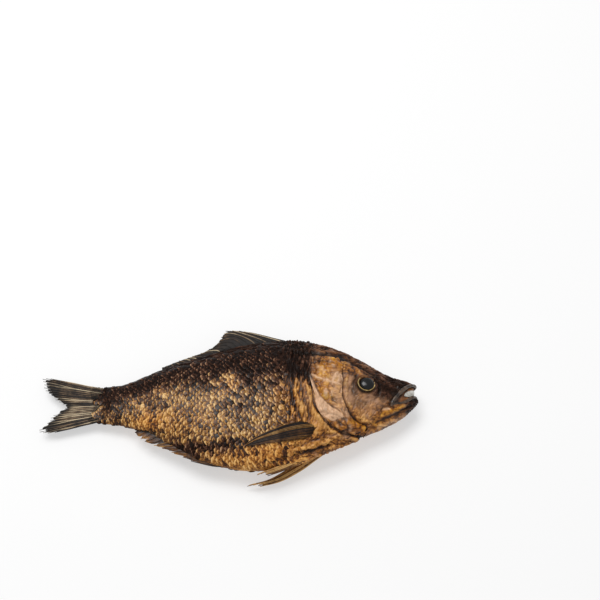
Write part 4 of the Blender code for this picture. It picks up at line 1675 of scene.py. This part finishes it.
@dataclass
class LowerJaw:
    """The lower jaw: a closed rounded trough of skin from the throat to the chin, under a thick lip."""

    form: FishForm
    marks: Marks
    rings: int = 110
    around: int = 84
    across: int = 20
    dip: float = 1.8 * MM
    nose: float = 0.478
    tip: float = 0.497
    rounding_end: float = 0.4985
    lip_size: float = 2.1 * MM
    swell: float = 0.35 * MM
    tuck: float = 0.12 * MM
    floor_gap: float = 0.15 * MM
    lip_points: int = 150
    seed: int = 7
    lip_seed: int = 41

    TOP = np.array([(0.355, -0.252), (0.380, -0.168), (0.414, -0.038), (0.430, -0.050), (0.452, -0.030),
                    (0.479, 0.012), (0.500, 0.046)])
    LIP: Outline = ((0.424, -0.062), (0.440, -0.044), (0.455, -0.030), (0.470, -0.004), (0.483, 0.026))

    def build(self, skin: Material, lip: Material) -> Pieces:
        """Builds the jaw.

        Args:
            skin: the jaw skin's material.
            lip: the lip's material.

        Returns:
            The jaw and its lip.
        """
        return self.trough(skin), self.rim(lip)

    def trough(self, skin: Material) -> bpy.types.Object:
        """The jaw's skin, closed over the floor of the mouth."""
        form = self.form
        rows = []
        for place in np.linspace(self.TOP[0, 0], self.tip, self.rings):
            x = float(form.x(place))
            top = float(form.y(np.interp(place, self.TOP[:, 0], self.TOP[:, 1])))
            edge = float(form.angle_of(np.array([x]), np.array([top]), Side.RIGHT)[0])
            turn = np.linspace(edge, FULL_TURN - edge, self.around)
            turn = np.where(turn > math.pi, turn - FULL_TURN, turn)
            arc = form.surface(np.full(self.around, x), turn)
            share = np.linspace(0, 1, self.across + 2)[1:-1, None]
            floor = arc[-1] + (arc[0] - arc[-1]) * share
            floor[:, 1] -= self.dip * np.sin(math.pi * share[:, 0])
            ring = np.concatenate([arc, floor])
            centre = ring.mean(axis=0)
            blunt = max((place - self.nose) / (self.rounding_end - self.nose), 0.0)
            ring = centre + (ring - centre) * math.sqrt(1 - blunt**2)
            rows.append(ring)
        base = np.array(rows)
        count = self.around + self.across
        flat = base.reshape(-1, 3)
        relief = Relief(form, flat, self.seed)
        self.paint(relief)
        around = np.roll(base, -1, axis=1) - np.roll(base, 1, axis=1)
        out = unit(np.cross(around, np.gradient(base, axis=0)))
        faces = [face[::-1] for face in grid_faces(self.rings, count, closed=True)]
        last = (self.rings - 1) * count
        faces += [tuple(range(count)), tuple(reversed(range(last, last + count)))]
        mouth = np.array(MOUTH_END)
        depth = (flat[:, 1] - form.datum) / form.depth
        ahead = form.share(flat[:, 0]) - np.interp(depth, mouth[:, 1], mouth[:, 0])
        clear = smoothstep(0.0, 0.025, ahead)
        lift = relief.height * clear - self.tuck + (self.swell + self.tuck) * clear
        points = flat + out.reshape(-1, 3) * lift[:, None]
        points[:, 2] = np.maximum(points[:, 2], self.floor_gap)
        return add_object("lower_jaw_skin", points, faces, relief.fields, skin)

    def paint(self, relief: Relief) -> None:
        """Folds and smoke colours of the jaw: a yellow strip, partly painted highlight, grooves under it
        darkened with painted shade, and a black chin.
        """
        relief.fields["gold"] += 0.35
        for fold in (
            Crease(((0.392, -0.150), (0.415, -0.104), (0.440, -0.080), (0.466, -0.038)), 1.5, -0.5, gold=1.0),
            Crease(((0.380, -0.196), (0.406, -0.152), (0.434, -0.110), (0.462, -0.062), (0.480, -0.036)),
                   0.7, 0.7, stain=0.95),
            Crease(((0.384, -0.216), (0.410, -0.176), (0.440, -0.130), (0.470, -0.080)),
                   0.9, -0.45, pink=0.45),
            Crease(((0.392, -0.226), (0.418, -0.184), (0.446, -0.140)), 0.8, 0.5, stain=0.8),
            Crease(((0.401, -0.104), (0.410, -0.094), (0.420, -0.090)), 0.7, -0.3, pink=1.0),
        ):
            relief.crease(fold)
        for zone in (
            Patch("char", (0.500, 0.000), (9, 12), 1.2), Patch("char", (0.440, -0.020), (16, 3.5), 0.7, 30),
            Patch("char", (0.460, -0.100), (9, 3), 0.4, 45),
        ):
            relief.patch(zone)
        self.marks.lines(relief, (9.0, 2.0, 3.0), 0.30, np.ones(len(relief.height)), 0.5, 4.4)
        relief.height += 0.10 * MM * self.marks.grain.layered(relief.points, 2.0 * MM, 2)
        relief.settle()

    def rim(self, lip: Material) -> bpy.types.Object:
        """The lip, one thick fold round the jaw's edge."""
        form = self.form
        plan = through(form.plan(self.LIP), 46)
        right, left = (form.lifted(plan, side, -0.1 * MM) for side in Side)
        path = through(np.concatenate([right[::5], form.snout_tip(0.040), left[::-1][4::5]]), self.lip_points)
        up = np.broadcast_to([0.25, 1.0, 0.0], path.shape)
        share = np.linspace(0, 1, len(path))
        swell = 0.45 + 0.55 * np.sin(math.pi * share) ** 0.6
        wobble = Noise(self.lip_seed).at(path / (4 * MM))
        path[:, 1] += 0.25 * MM * wobble
        height = self.lip_size * swell
        return sweep("lower_lip", path, up, height * (1 + 0.15 * wobble), height, lip, sides=18)


@dataclass
class MouthLining:
    """Palate and tongue as one soft filling between the jaws, set back from the lips."""

    form: FishForm
    rings: int = 46
    steps: int = 18
    inset: float = 0.76
    start: float = 0.405
    end: float = 0.487
    floor_gap: float = 0.4 * MM
    seed: int = 44

    ROOF = np.array([(0.400, -0.010), (0.430, 0.020), (0.455, 0.070), (0.482, 0.128), (0.490, 0.138)])
    FLOOR = np.array([(0.400, -0.110), (0.430, -0.085), (0.455, -0.062), (0.482, -0.006), (0.490, 0.020)])

    def build(self, finish: Material) -> bpy.types.Object:
        """Builds the lining.

        Args:
            finish: its material.

        Returns:
            The piece.
        """
        form, rows = self.form, []
        for place in np.linspace(self.start, self.end, self.rings):
            x = np.full(self.steps, form.x(place))
            roof, floor = (np.interp(place, line[:, 0], line[:, 1]) for line in (self.ROOF, self.FLOOR))
            depth = form.y(np.linspace(roof, floor, self.steps))
            right, left = (form.surface(x, form.angle_of(x, depth, side)) for side in Side)
            ring = np.concatenate([right, left[::-1]])
            middle = form.section(x[:1])[4][0]
            close = self.inset * math.sqrt(1 - max((place - 0.47) / (self.end - 0.465), 0.0) ** 2)
            ring[:, 2] = middle + (ring[:, 2] - middle) * close
            rows.append(ring)
        points, count = np.array(rows).reshape(-1, 3), 2 * self.steps
        bumps = Noise(self.seed).layered(points, 3 * MM, 2)
        points[:, 2] = np.maximum(points[:, 2] + 0.4 * MM * bumps, self.floor_gap)
        last = (self.rings - 1) * count
        faces = grid_faces(self.rings, count, closed=True)
        faces += [tuple(reversed(range(count))), tuple(range(last, last + count))]
        return add_object("mouth_lining", points, faces, finish=finish)


@dataclass
class UpperJaw:
    """The upper jaw: a dark bony bar down each side of the mouth, joined by the lip over the snout's tip."""

    form: FishForm
    width: float = 2.6 * MM
    height: float = 2.2 * MM
    bar_points: int = 190
    fleck_thickness: float = 0.45 * MM
    seed: int = 42
    fleck_seed: int = 43

    FLECK_GRID = (9, 40)
    BAR: Outline = ((0.423, -0.070), (0.428, -0.036), (0.441, 0.012), (0.455, 0.060), (0.468, 0.094),
                    (0.482, 0.122), (0.491, 0.134))
    FLECK: Outline = ((0.461, 0.022), (0.470, 0.022), (0.484, 0.030), (0.489, 0.052), (0.487, 0.084),
                      (0.476, 0.074), (0.464, 0.046))

    def build(self, lip: Material, membrane: Material) -> Pieces:
        """Builds the jaw.

        Args:
            lip: the jaw's material.
            membrane: the fleck's material.

        Returns:
            The jaw and the pale scrap of membrane in the corner of the mouth.
        """
        form = self.form
        plan = through(form.plan(self.BAR), 60)
        right, left = (form.lifted(plan, side, 0.1 * MM) for side in Side)
        tip = form.snout_tip(0.136)
        path = through(np.concatenate([right[::6], tip, left[::-1][5::6]]), self.bar_points)
        up = path - np.array([form.x(0.43), form.y(0.06), tip[0, 2]])
        share = np.abs(np.linspace(-1, 1, len(path)))
        swell = np.interp(share, (0.0, 0.25, 0.6, 0.9, 1.0), (0.75, 0.85, 1.05, 1.0, 0.45))
        wobble = Noise(self.seed).at(path / (3 * MM))
        width = self.width * swell * (1 + 0.18 * wobble)
        height = self.height * swell * (1 + 0.15 * wobble)
        jaw = sweep("upper_jaw_bar", path, up, width, height, lip, sides=20)
        return jaw, self.scrap(membrane)

    def scrap(self, membrane: Material) -> bpy.types.Object:
        """The pale scrap, a small crumpled sheet between the jaws."""
        rings, around = self.FLECK_GRID
        rim = through(self.form.plan(self.FLECK + self.FLECK[:1]), around + 1)[:-1]
        middle = rim.mean(axis=0)
        plan = middle + (rim - middle)[None] * np.linspace(0.02, 1.0, rings)[:, None, None]
        flat = plan.reshape(-1, 2)
        crumple = Noise(self.fleck_seed).layered(np.column_stack([flat, 0 * flat[:, 0]]), 2.5 * MM, 2)
        lift = -0.9 * MM + 0.5 * MM * crumple
        top, under = (self.form.lifted(flat, Side.RIGHT, lift - drop) for drop in (0.0, self.fleck_thickness))
        count, last = rings * around, (rings - 1) * around
        faces = [face[::-1] for face in grid_faces(rings, around, closed=True)]
        faces += [tuple(count + corner for corner in reversed(face)) for face in faces]
        for k in range(around):
            after = last + (k + 1) % around
            faces.append((last + k, after, count + after, count + last + k))
        faces += [tuple(range(around)), tuple(count + k for k in reversed(range(around)))]
        return add_object("lip_membrane", np.concatenate([top, under]), faces, finish=membrane)


# ---------------------------------------------------------------------------------------------
# Fins
# ---------------------------------------------------------------------------------------------


@dataclass
class RayFin:
    """A fin dried in the smoke: bony rays that fork towards the edge, with brittle skin between them.

    The fin is a patch whose two short sides are its first and last ray. Front and rear edges, the root and
    the outer edge come from the subclass's own outline.
    """

    form: FishForm
    name: str
    rays: int
    root_radius: float = 0.50 * MM
    tip_radius: float = 0.20 * MM
    web: float = 0.50 * MM
    ripple: float = 0.45 * MM
    fray: float = 0.06
    fork_from: float = 0.45
    fork_spread: float = 0.30
    tone: tuple[float, float] = (0.20, 0.55)
    web_tone: tuple[float, float] = (0.10, 0.35)
    stain_root: float = 0.0
    stain_tip: float = 0.0
    blotch: float = 0.0
    # Where painted shade marks the slit between two lobes, across the fin; -1 for none.
    slit: float = -1.0
    tone_across: float = 0.0
    columns: int = 44
    ray_points: int = 26
    ray_sides: int = 7
    floor_gap: float = 0.12 * MM
    seed: int = 51

    def at(self, across: np.ndarray, along: np.ndarray) -> np.ndarray:
        """Points of the fin's middle sheet.

        Args:
            across: from the first ray at 0 to the last at 1.
            along: from the root at 0 to the outer edge at 1.

        Returns:
            An array of the same shape with a last axis of three.
        """
        raise NotImplementedError

    def ruffle(self, across: np.ndarray, along: np.ndarray) -> np.ndarray:
        """How far the sheet stands out of its middle: folds between rays, growing to the edge."""
        folds = np.cos(FULL_TURN * self.rays * across)
        places = np.stack([across * 5, along * 2.5, 0 * across], axis=-1)
        slow = Noise(self.seed).at(places.reshape(-1, 3))
        return -self.ripple * 0.35 * folds * (0.3 + 0.7 * along) + self.ripple * slow.reshape(across.shape)

    def soot_and_shade(self, points: np.ndarray, across: np.ndarray,
             along: np.ndarray) -> tuple[np.ndarray, np.ndarray]:
        """What the smoke left on the fin: dark root, tips and blotches; and painted shade along the slit
        between two lobes.

        Args:
            points: places on the fin.
            across: their place from the first ray to the last.
            along: their place from the root to the edge.

        Returns:
            How dark it is, 0 to 1, from the smoke and from painted shade along the slit, and what it adds to
            the tone.
        """
        spots = Noise(self.seed + 3).layered(points.reshape(-1, 3), 11 * MM, 3).reshape(along.shape)
        stain = self.stain_root * (1 - smoothstep(0.04, 0.36, along + 0.25 * spots))
        stain = stain + self.stain_tip * smoothstep(0.70, 0.90, along + 0.2 * spots)
        stain = stain + self.blotch * smoothstep(0.05, 0.40, spots)
        # Painted shade along the slit between the lobes.
        stain = stain + 1.2 * np.exp(-(((across - self.slit) / 0.022) ** 2))
        return np.clip(stain, 0.0, 1.0), -0.4 * self.blotch * spots

    def normal(self, across: np.ndarray, along: np.ndarray) -> np.ndarray:
        """Unit vectors out of the sheet, towards the fish's upper side."""
        step = 0.01
        down = self.at(across + step, along) - self.at(across - step, along)
        out = self.at(across, along + step) - self.at(across, along - step)
        found = unit(np.cross(down, out))
        return found * np.sign(found[..., 2:].mean())

    def sheet(self, finish: Material) -> bpy.types.Object:
        """The skin between the rays, frayed and slit at its edge."""
        line = np.linspace(0, 1, self.rays * 6 + 1)
        across = np.broadcast_to(line[:, None], (len(line), self.columns))
        noise = Noise(self.seed + 1)
        ragged = noise.at(np.stack([line * self.rays * 0.8, 0 * line, 0 * line], axis=1))
        coarse = noise.at(np.stack([line * 4.0, 0 * line + 3.3, 0 * line], axis=1))
        slits = np.clip(np.cos(FULL_TURN * self.rays * line + math.pi), 0, 1) ** 3
        reach = 1 - self.fray * (0.6 + 0.6 * ragged + 0.5 * coarse + 1.2 * slits * (ragged > -0.1))
        along = np.minimum(reach, 1.0)[:, None] * np.linspace(0, 1, self.columns)[None]
        base, out = self.at(across, along), self.normal(across, along)
        middle = base + out * self.ruffle(across, along)[..., None]
        half = self.web / 2 * (1 - 0.55 * along)[..., None]
        top, under = middle + out * half, middle - out * half
        for points in (top, under):
            points[..., 2] = np.maximum(points[..., 2], self.floor_gap)
        speck = noise.layered(middle.reshape(-1, 3), 5 * MM, 3).reshape(along.shape)
        tone = np.interp(along, (0, 1), self.web_tone) + 0.18 * speck
        tone = tone + self.tone_across * across * (1 - along)
        stain, shade = self.soot_and_shade(middle, across, along)
        return shell(f"{self.name}_skin", top, under, {"tone": tone + shade, "stain": stain}, finish)

    def strands(self) -> tuple[list[np.ndarray], list[Fields]]:
        """Every ray's points and values. A forked ray is two whole strands that coincide up to its fork."""
        random = np.random.default_rng(self.seed + 2)
        lines, values = [], []
        for k in range(self.rays + 1):
            across = k / self.rays
            reach = 1 - self.fray * random.uniform(-0.3, 1.0)
            pale = random.uniform(-0.40, 0.30)
            along = np.linspace(0.0, reach, self.ray_points)
            spread = self.fork_spread / self.rays * smoothstep(self.fork_from, 1.0, along)
            for branch in (-1, 1) if self.fork_spread else (0,):
                place = np.clip(across + branch * spread, 0.0, 1.0)
                base, out = self.at(place, along), self.normal(place, along)
                points = base + out * (self.ruffle(place, along) + 0.35 * self.web)[:, None]
                radius = np.interp(along / reach, (0, 1), (self.root_radius, self.tip_radius))
                if branch:
                    radius = radius * (1 - 0.25 * smoothstep(self.fork_from, self.fork_from + 0.1, along))
                tone = np.interp(along, (0, 1), self.tone) + pale + self.tone_across * across * (1 - along)
                stain, shade = self.soot_and_shade(points, place, along)
                points[:, 2] = np.maximum(points[:, 2], self.floor_gap + radius)
                lines.append(points)
                values.append({"thickness": radius, "tone": tone + shade, "stain": 0.85 * stain})
        return lines, values

    def bones(self, finish: Material) -> bpy.types.Object:
        """The rays, swept along their lines by Geometry Nodes."""
        lines, values = self.strands()
        mesh = bpy.data.meshes.new("ray_lines")
        starts = np.cumsum([0] + [len(line) for line in lines[:-1]])
        edges = [(s + k, s + k + 1) for s, line in zip(starts, lines) for k in range(len(line) - 1)]
        mesh.from_pydata(np.concatenate(lines).tolist(), edges, [])
        store(mesh, {title: np.concatenate([value[title] for value in values]) for title in values[0]})
        source = placed("ray_lines", mesh)
        made = applied(source, self.tree(finish), {"Sides": self.ray_sides}, f"{self.name}_rays")
        bpy.data.objects.remove(source)
        return made

    @staticmethod
    def tree(finish: Material) -> bpy.types.NodeTree:
        """The Geometry Nodes tree that gives the rays their bone, with the named input Sides."""
        tree = start_tree("grow_rays", {"Sides": "Int"})
        given = add_node(tree, "NodeGroupInput").outputs
        curves = add_node(tree, "GeometryNodeMeshToCurve", None, {0: given["Geometry"]}).outputs[0]
        ring = add_node(tree, "GeometryNodeCurvePrimitiveCircle", None,
                        {"Resolution": given["Sides"], "Radius": 1.0}).outputs[0]
        solid = add_node(tree, "GeometryNodeCurveToMesh", None, {
            "Curve": curves, "Profile Curve": ring, "Scale": carried(tree, "thickness"), "Fill Caps": True,
        }).outputs[0]
        smooth = add_node(tree, "GeometryNodeSetShadeSmooth", None, {"Geometry": solid}).outputs[0]
        end_tree(tree, smooth, finish)
        return tree

    def build(self, ray: Material, web: Material) -> Pieces:
        """Builds the fin.

        Args:
            ray: the rays' material.
            web: the skin's material.

        Returns:
            The skin and the rays.
        """
        return self.sheet(web), self.bones(ray)


@dataclass
class EdgeFin(RayFin):
    """A fin that stands out of the fish's outline: tail, dorsal or anal. Its rays lean back."""

    root: Outline = ()
    edge: Outline = ()
    slant: float = 0.0
    droop: tuple[float, float] = (0.0, 0.0)
    line_points: int = 200

    def at(self, across: np.ndarray, along: np.ndarray) -> np.ndarray:
        """See RayFin."""
        leant = across + self.slant * (1 - across) * np.clip(along, 0, 1)
        root = read_line(through(self.form.plan(self.root), self.line_points), across)
        edge = read_line(through(self.form.plan(self.edge), self.line_points), leant)
        plan = root + (edge - root) * along[..., None]
        clipped = np.maximum(plan[..., 0], self.form.x(self.form.STATIONS[0, 0]))
        height = self.form.section(clipped)[4] + np.interp(along, (0, 1), self.droop)
        return np.concatenate([plan, height[..., None]], axis=-1)


@dataclass
class FoldedFin(RayFin):
    """A fin folded flat: its first ray lies on the upper outline and its last on the lower one."""

    upper: Outline = ()
    lower: Outline = ()
    line_points: int = 120

    def at(self, across: np.ndarray, along: np.ndarray) -> np.ndarray:
        """See RayFin."""
        across, along = np.broadcast_arrays(across, along)
        shape, across, along = across.shape, across.ravel(), along.ravel()
        lines = (through(self.form.plan(outline), self.line_points) for outline in (self.upper, self.lower))
        upper, lower = (read_line(line, along) for line in lines)
        plan = upper + (lower - upper) * across[:, None]
        return self.raised(plan, np.linalg.norm(lower - upper, axis=1), across, along).reshape(*shape, 3)

    def raised(self, plan: np.ndarray, width: np.ndarray, across: np.ndarray,
               along: np.ndarray) -> np.ndarray:
        """Gives places in plan their height.

        Args:
            plan: (x, y) rows in metres.
            width: the fin's width there, in metres.
            across: from the first ray at 0 to the last at 1.
            along: from the root at 0 to the outer edge at 1.

        Returns:
            (x, y, z) rows in metres.
        """
        raise NotImplementedError


@dataclass
class FlankFin(FoldedFin):
    """A pectoral fin folded flat on its flank."""

    side: Side = Side.RIGHT
    lift: float = 0.9 * MM

    def raised(self, plan: np.ndarray, width: np.ndarray, across: np.ndarray,
               along: np.ndarray) -> np.ndarray:
        """See FoldedFin: just out of the flank, with a root that dips into it."""
        start = 0.03 + 0.20 * (2 * across - 1) ** 2
        out = smoothstep(0.0, 1.0, (along - start) / 0.16 + 0.5) * 2.0 - 1.0
        return self.form.lifted(plan, self.side, self.lift * out + 0.5 * MM * along)


@dataclass
class BellyFin(FoldedFin):
    """A pelvic fin folded into a spike of strands along the belly."""

    heights: tuple[float, float] = (0.0, 0.0)
    roll: float = 0.35

    def raised(self, plan: np.ndarray, width: np.ndarray, across: np.ndarray,
               along: np.ndarray) -> np.ndarray:
        """See FoldedFin: level, and arched from one edge to the other."""
        middle = np.interp(along, (0, 1), self.heights) * self.form.thickness
        return np.column_stack([plan, middle + self.roll * width * (1 - (2 * across - 1) ** 2)])


def fins(form: FishForm) -> dict[str, RayFin]:
    """The fins, by the name of the CAD node each stands for.

    Args:
        form: the fish's form.

    Returns:
        Every fin, ready to build.
    """
    made: dict[str, RayFin] = {}
    made["tail_fin"] = EdgeFin(
        form, "tail_fin", rays=26, root_radius=0.48 * MM, tip_radius=0.22 * MM, web=0.6 * MM, ripple=0.6 * MM,
        fray=0.10, fork_from=0.30, fork_spread=0.50, tone=(0.40, 0.42), web_tone=(0.00, 0.20),
        stain_root=0.60, stain_tip=0.90, blotch=0.42, slit=0.50, columns=60, seed=61,
        root=((-0.330, 0.135), (-0.334, 0.070), (-0.336, 0.017), (-0.334, -0.040), (-0.330, -0.100)),
        edge=((-0.490, 0.246), (-0.518, 0.238), (-0.506, 0.150), (-0.480, 0.080), (-0.450, 0.016),
              (-0.472, -0.042), (-0.491, -0.104), (-0.508, -0.184), (-0.480, -0.200)),
        droop=(0.0, -2.0 * MM),
    )
    made["dorsal_fin"] = EdgeFin(
        form, "dorsal_fin", rays=22, root_radius=0.45 * MM, tip_radius=0.22 * MM, web=0.7 * MM, fray=0.05,
        fork_spread=0.0, tone=(0.05, 0.50), web_tone=(0.0, 0.22), stain_root=0.5, blotch=0.4, columns=40,
        seed=71, slant=0.30,
        root=((0.160, 0.485), (0.080, 0.478), (0.000, 0.430), (-0.080, 0.365), (-0.190, 0.265)),
        edge=((0.152, 0.516), (0.117, 0.546), (0.072, 0.572), (0.017, 0.598), (-0.020, 0.604),
              (-0.044, 0.500), (-0.075, 0.432), (-0.108, 0.396), (-0.155, 0.352), (-0.192, 0.309)),
    )
    made["anal_fin"] = EdgeFin(
        form, "anal_fin", rays=14, root_radius=0.45 * MM, tip_radius=0.22 * MM, web=0.7 * MM, fray=0.22,
        fork_spread=0.0, tone=(0.05, 0.40), web_tone=(0.00, 0.30), stain_root=0.7, blotch=0.5, columns=40,
        seed=81, slant=0.30,
        root=((-0.020, -0.500), (-0.080, -0.425), (-0.150, -0.305), (-0.200, -0.225), (-0.240, -0.185)),
        edge=((-0.036, -0.524), (-0.083, -0.478), (-0.133, -0.409), (-0.183, -0.346), (-0.222, -0.304),
              (-0.256, -0.216)),
    )
    for side in Side:
        title = side.name.lower()
        made[f"pectoral_fin_{title}"] = FlankFin(
            form, f"{title}_pectoral_fin", rays=13, root_radius=0.42 * MM, tip_radius=0.18 * MM, web=0.8 * MM,
            fray=0.04, fork_from=0.55, fork_spread=0.2, tone=(0.16, 0.10), web_tone=(0.10, 0.0),
            tone_across=0.40, blotch=0.35, columns=60, seed=91 + side.value, side=side,
            upper=((0.231, -0.236), (0.205, -0.224), (0.156, -0.248), (0.105, -0.297), (0.066, -0.343),
                   (0.042, -0.385)),
            lower=((0.229, -0.298), (0.205, -0.334), (0.182, -0.346), (0.131, -0.368), (0.084, -0.384),
                   (0.045, -0.397)),
        )
    made["pelvic_fin_right"] = BellyFin(
        form, "right_pelvic_fin", rays=8, root_radius=0.50 * MM, tip_radius=0.25 * MM, web=0.9 * MM,
        fork_spread=0.0, ripple=0.3 * MM, fray=0.10, tone=(0.66, 0.50), web_tone=(0.50, 0.34), seed=101,
        upper=((0.250, -0.362), (0.222, -0.386), (0.165, -0.445), (0.115, -0.515), (0.070, -0.572)),
        lower=((0.248, -0.368), (0.226, -0.405), (0.180, -0.485), (0.135, -0.540), (0.098, -0.574)),
        heights=(0.50, 0.47),
    )
    made["pelvic_fin_left"] = BellyFin(
        form, "left_pelvic_fin", rays=7, root_radius=0.55 * MM, tip_radius=0.22 * MM, web=0.9 * MM,
        fork_spread=0.0, ripple=0.3 * MM, fray=0.14, tone=(0.66, 0.48), web_tone=(0.50, 0.34), seed=111,
        upper=((0.246, -0.372), (0.218, -0.402), (0.165, -0.470), (0.105, -0.560), (0.045, -0.600)),
        lower=((0.244, -0.380), (0.224, -0.420), (0.182, -0.500), (0.130, -0.570), (0.076, -0.601)),
        heights=(0.32, 0.13),
    )
    return made


# ---------------------------------------------------------------------------------------------
# Table, lights and camera
# ---------------------------------------------------------------------------------------------


@dataclass
class Studio:
    """A pale seamless table under broad soft light, seen from above the belly side."""

    whole: Box
    table_size: float = 6.0
    lens: float = 85.0
    aim: tuple[float, float, float] = (0.6854, 1.2185, 0.43)
    pitch: float = 57.0
    distance_share: float = 3.958
    key_offset: tuple[float, float, float] = (-0.26, 0.44, 1.38)
    key_power: float = 14.6
    key_size: tuple[float, float] = (1.0, 0.8)
    world_strength: float = 0.43
    table_glow: float = 0.50

    def spot(self, share: tuple[float, float, float]) -> Vector:
        """A place given as shares of the fish's box."""
        size = self.whole.high - self.whole.low
        return self.whole.low + Vector(s * k for s, k in zip(size, share))

    def build(self) -> None:
        """Builds table, lights and camera."""
        self.table()
        self.light("key", Vector(self.key_offset), self.key_power, self.key_size)
        world = bpy.data.worlds.new("studio_air")
        world.use_nodes = True
        background = next(node for node in world.node_tree.nodes if node.type == "BACKGROUND")
        background.inputs["Color"].default_value = (1.0, 1.0, 1.0, 1.0)
        background.inputs["Strength"].default_value = self.world_strength
        bpy.context.scene.world = world
        bpy.context.scene.view_settings.view_transform = "Standard"
        self.camera()

    def table(self) -> None:
        """The table top, a plain pale plane."""
        half = self.table_size / 2
        corners = np.array([(-half, -half, 0), (half, -half, 0), (half, half, 0), (-half, half, 0)])
        table = add_object("table_top", corners, [(0, 1, 2, 3)])
        made = bpy.data.materials.new("matt_white_table")
        made.use_nodes = True
        shader = next(node for node in made.node_tree.nodes if node.type == "BSDF_PRINCIPLED")
        shader.inputs["Base Color"].default_value = linear("#bababa")
        shader.inputs["Roughness"].default_value = 0.9
        shader.inputs["Specular IOR Level"].default_value = 0.1
        shader.inputs["Emission Color"].default_value = (1.0, 1.0, 1.0, 1.0)
        shader.inputs["Emission Strength"].default_value = self.table_glow
        table.data.materials.append(made)
        table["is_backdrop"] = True

    def light(self, name: str, offset: Vector, power: float, size: tuple[float, float]) -> None:
        """A rectangular soft light that faces the fish.

        Args:
            name: its name.
            offset: its place from the middle of the fish, in metres.
            power: its power in watts.
            size: its width and height in metres.
        """
        data = bpy.data.lights.new(name, "AREA")
        data.shape, data.size, data.size_y, data.energy = "RECTANGLE", size[0], size[1], power
        made = bpy.data.objects.new(name, data)
        middle = self.spot((0.5, 0.5, 0.5))
        made.location = middle + offset
        made.rotation_euler = (middle - made.location).to_track_quat("-Z", "Y").to_euler()
        bpy.context.scene.collection.objects.link(made)

    def camera(self) -> None:
        """The camera, looking down along the fish's depth."""
        data = bpy.data.cameras.new("camera")
        data.lens, data.sensor_width = self.lens, 36.0
        made = bpy.data.objects.new("camera", data)
        pitch = math.radians(self.pitch)
        forward = Vector((0.0, math.cos(pitch), -math.sin(pitch)))
        distance = self.distance_share * (self.whole.high.x - self.whole.low.x)
        made.location = self.spot(self.aim) - forward * distance
        made.rotation_euler = forward.to_track_quat("-Z", "Y").to_euler()
        bpy.context.scene.collection.objects.link(made)
        bpy.context.scene.camera = made


# ---------------------------------------------------------------------------------------------
# The fish
# ---------------------------------------------------------------------------------------------


def as_box(corners: tuple) -> Box:
    """A pair of corners as a Box."""
    return Box(Vector(corners[0]), Vector(corners[1]))


class SmokedBream:
    """The whole fish, each sub-assembly tied to its CAD nodes."""

    def __init__(self, form: FishForm) -> None:
        """Args:
        form: the fish's form.
        """
        self.form = form
        self.marks = Marks(form)
        self.finishes = Finishes()

    def build(self) -> None:
        """Builds every piece."""
        finish = self.finishes
        own(BodySkin(self.form, self.marks).build(finish.skin), "skin", "body")
        for side in Side:
            title = side.name.lower()
            own(ScaleCoat(self.form, self.marks, side).build(finish.scale), "skin", "body")
            cover = GillCover(self.form, self.marks, side).build(finish.cover)
            own(cover, "head_skin", f"gill_cover_{title}")
            box = as_box(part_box(f"eye_{title}"))
            eye = Eye(self.form, side, (box.low + box.high) / 2, (box.high.x - box.low.x) / 2)
            for piece in eye.build(finish.eyeball, finish.iris):
                own(piece, "eye", f"eye_{title}")
        for piece in LowerJaw(self.form, self.marks).build(finish.cover, finish.lip):
            own(piece, "head_skin", "lower_jaw")
        for piece in UpperJaw(self.form).build(finish.lip, finish.membrane):
            own(piece, "head_skin", "upper_jaw")
        own(MouthLining(self.form).build(finish.mouth), "head_skin", "upper_jaw")
        for node, fin in fins(self.form).items():
            golden = isinstance(fin, FoldedFin) or node == "anal_fin"
            web = finish.gold_ray if golden and not isinstance(fin, FlankFin) else finish.web
            for piece in fin.build(finish.gold_ray if golden else finish.ray, web):
                own(piece, "fin", node)


def main() -> None:
    """Builds the fish and its studio."""
    logging.basicConfig(level=logging.INFO, format="%(name)s %(message)s")
    cad_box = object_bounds()
    whole = as_box(cad_box)
    SmokedBream(FishForm(whole, as_box(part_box("body")))).build()
    Studio(whole).build()


if __name__ == "__main__":
    main()
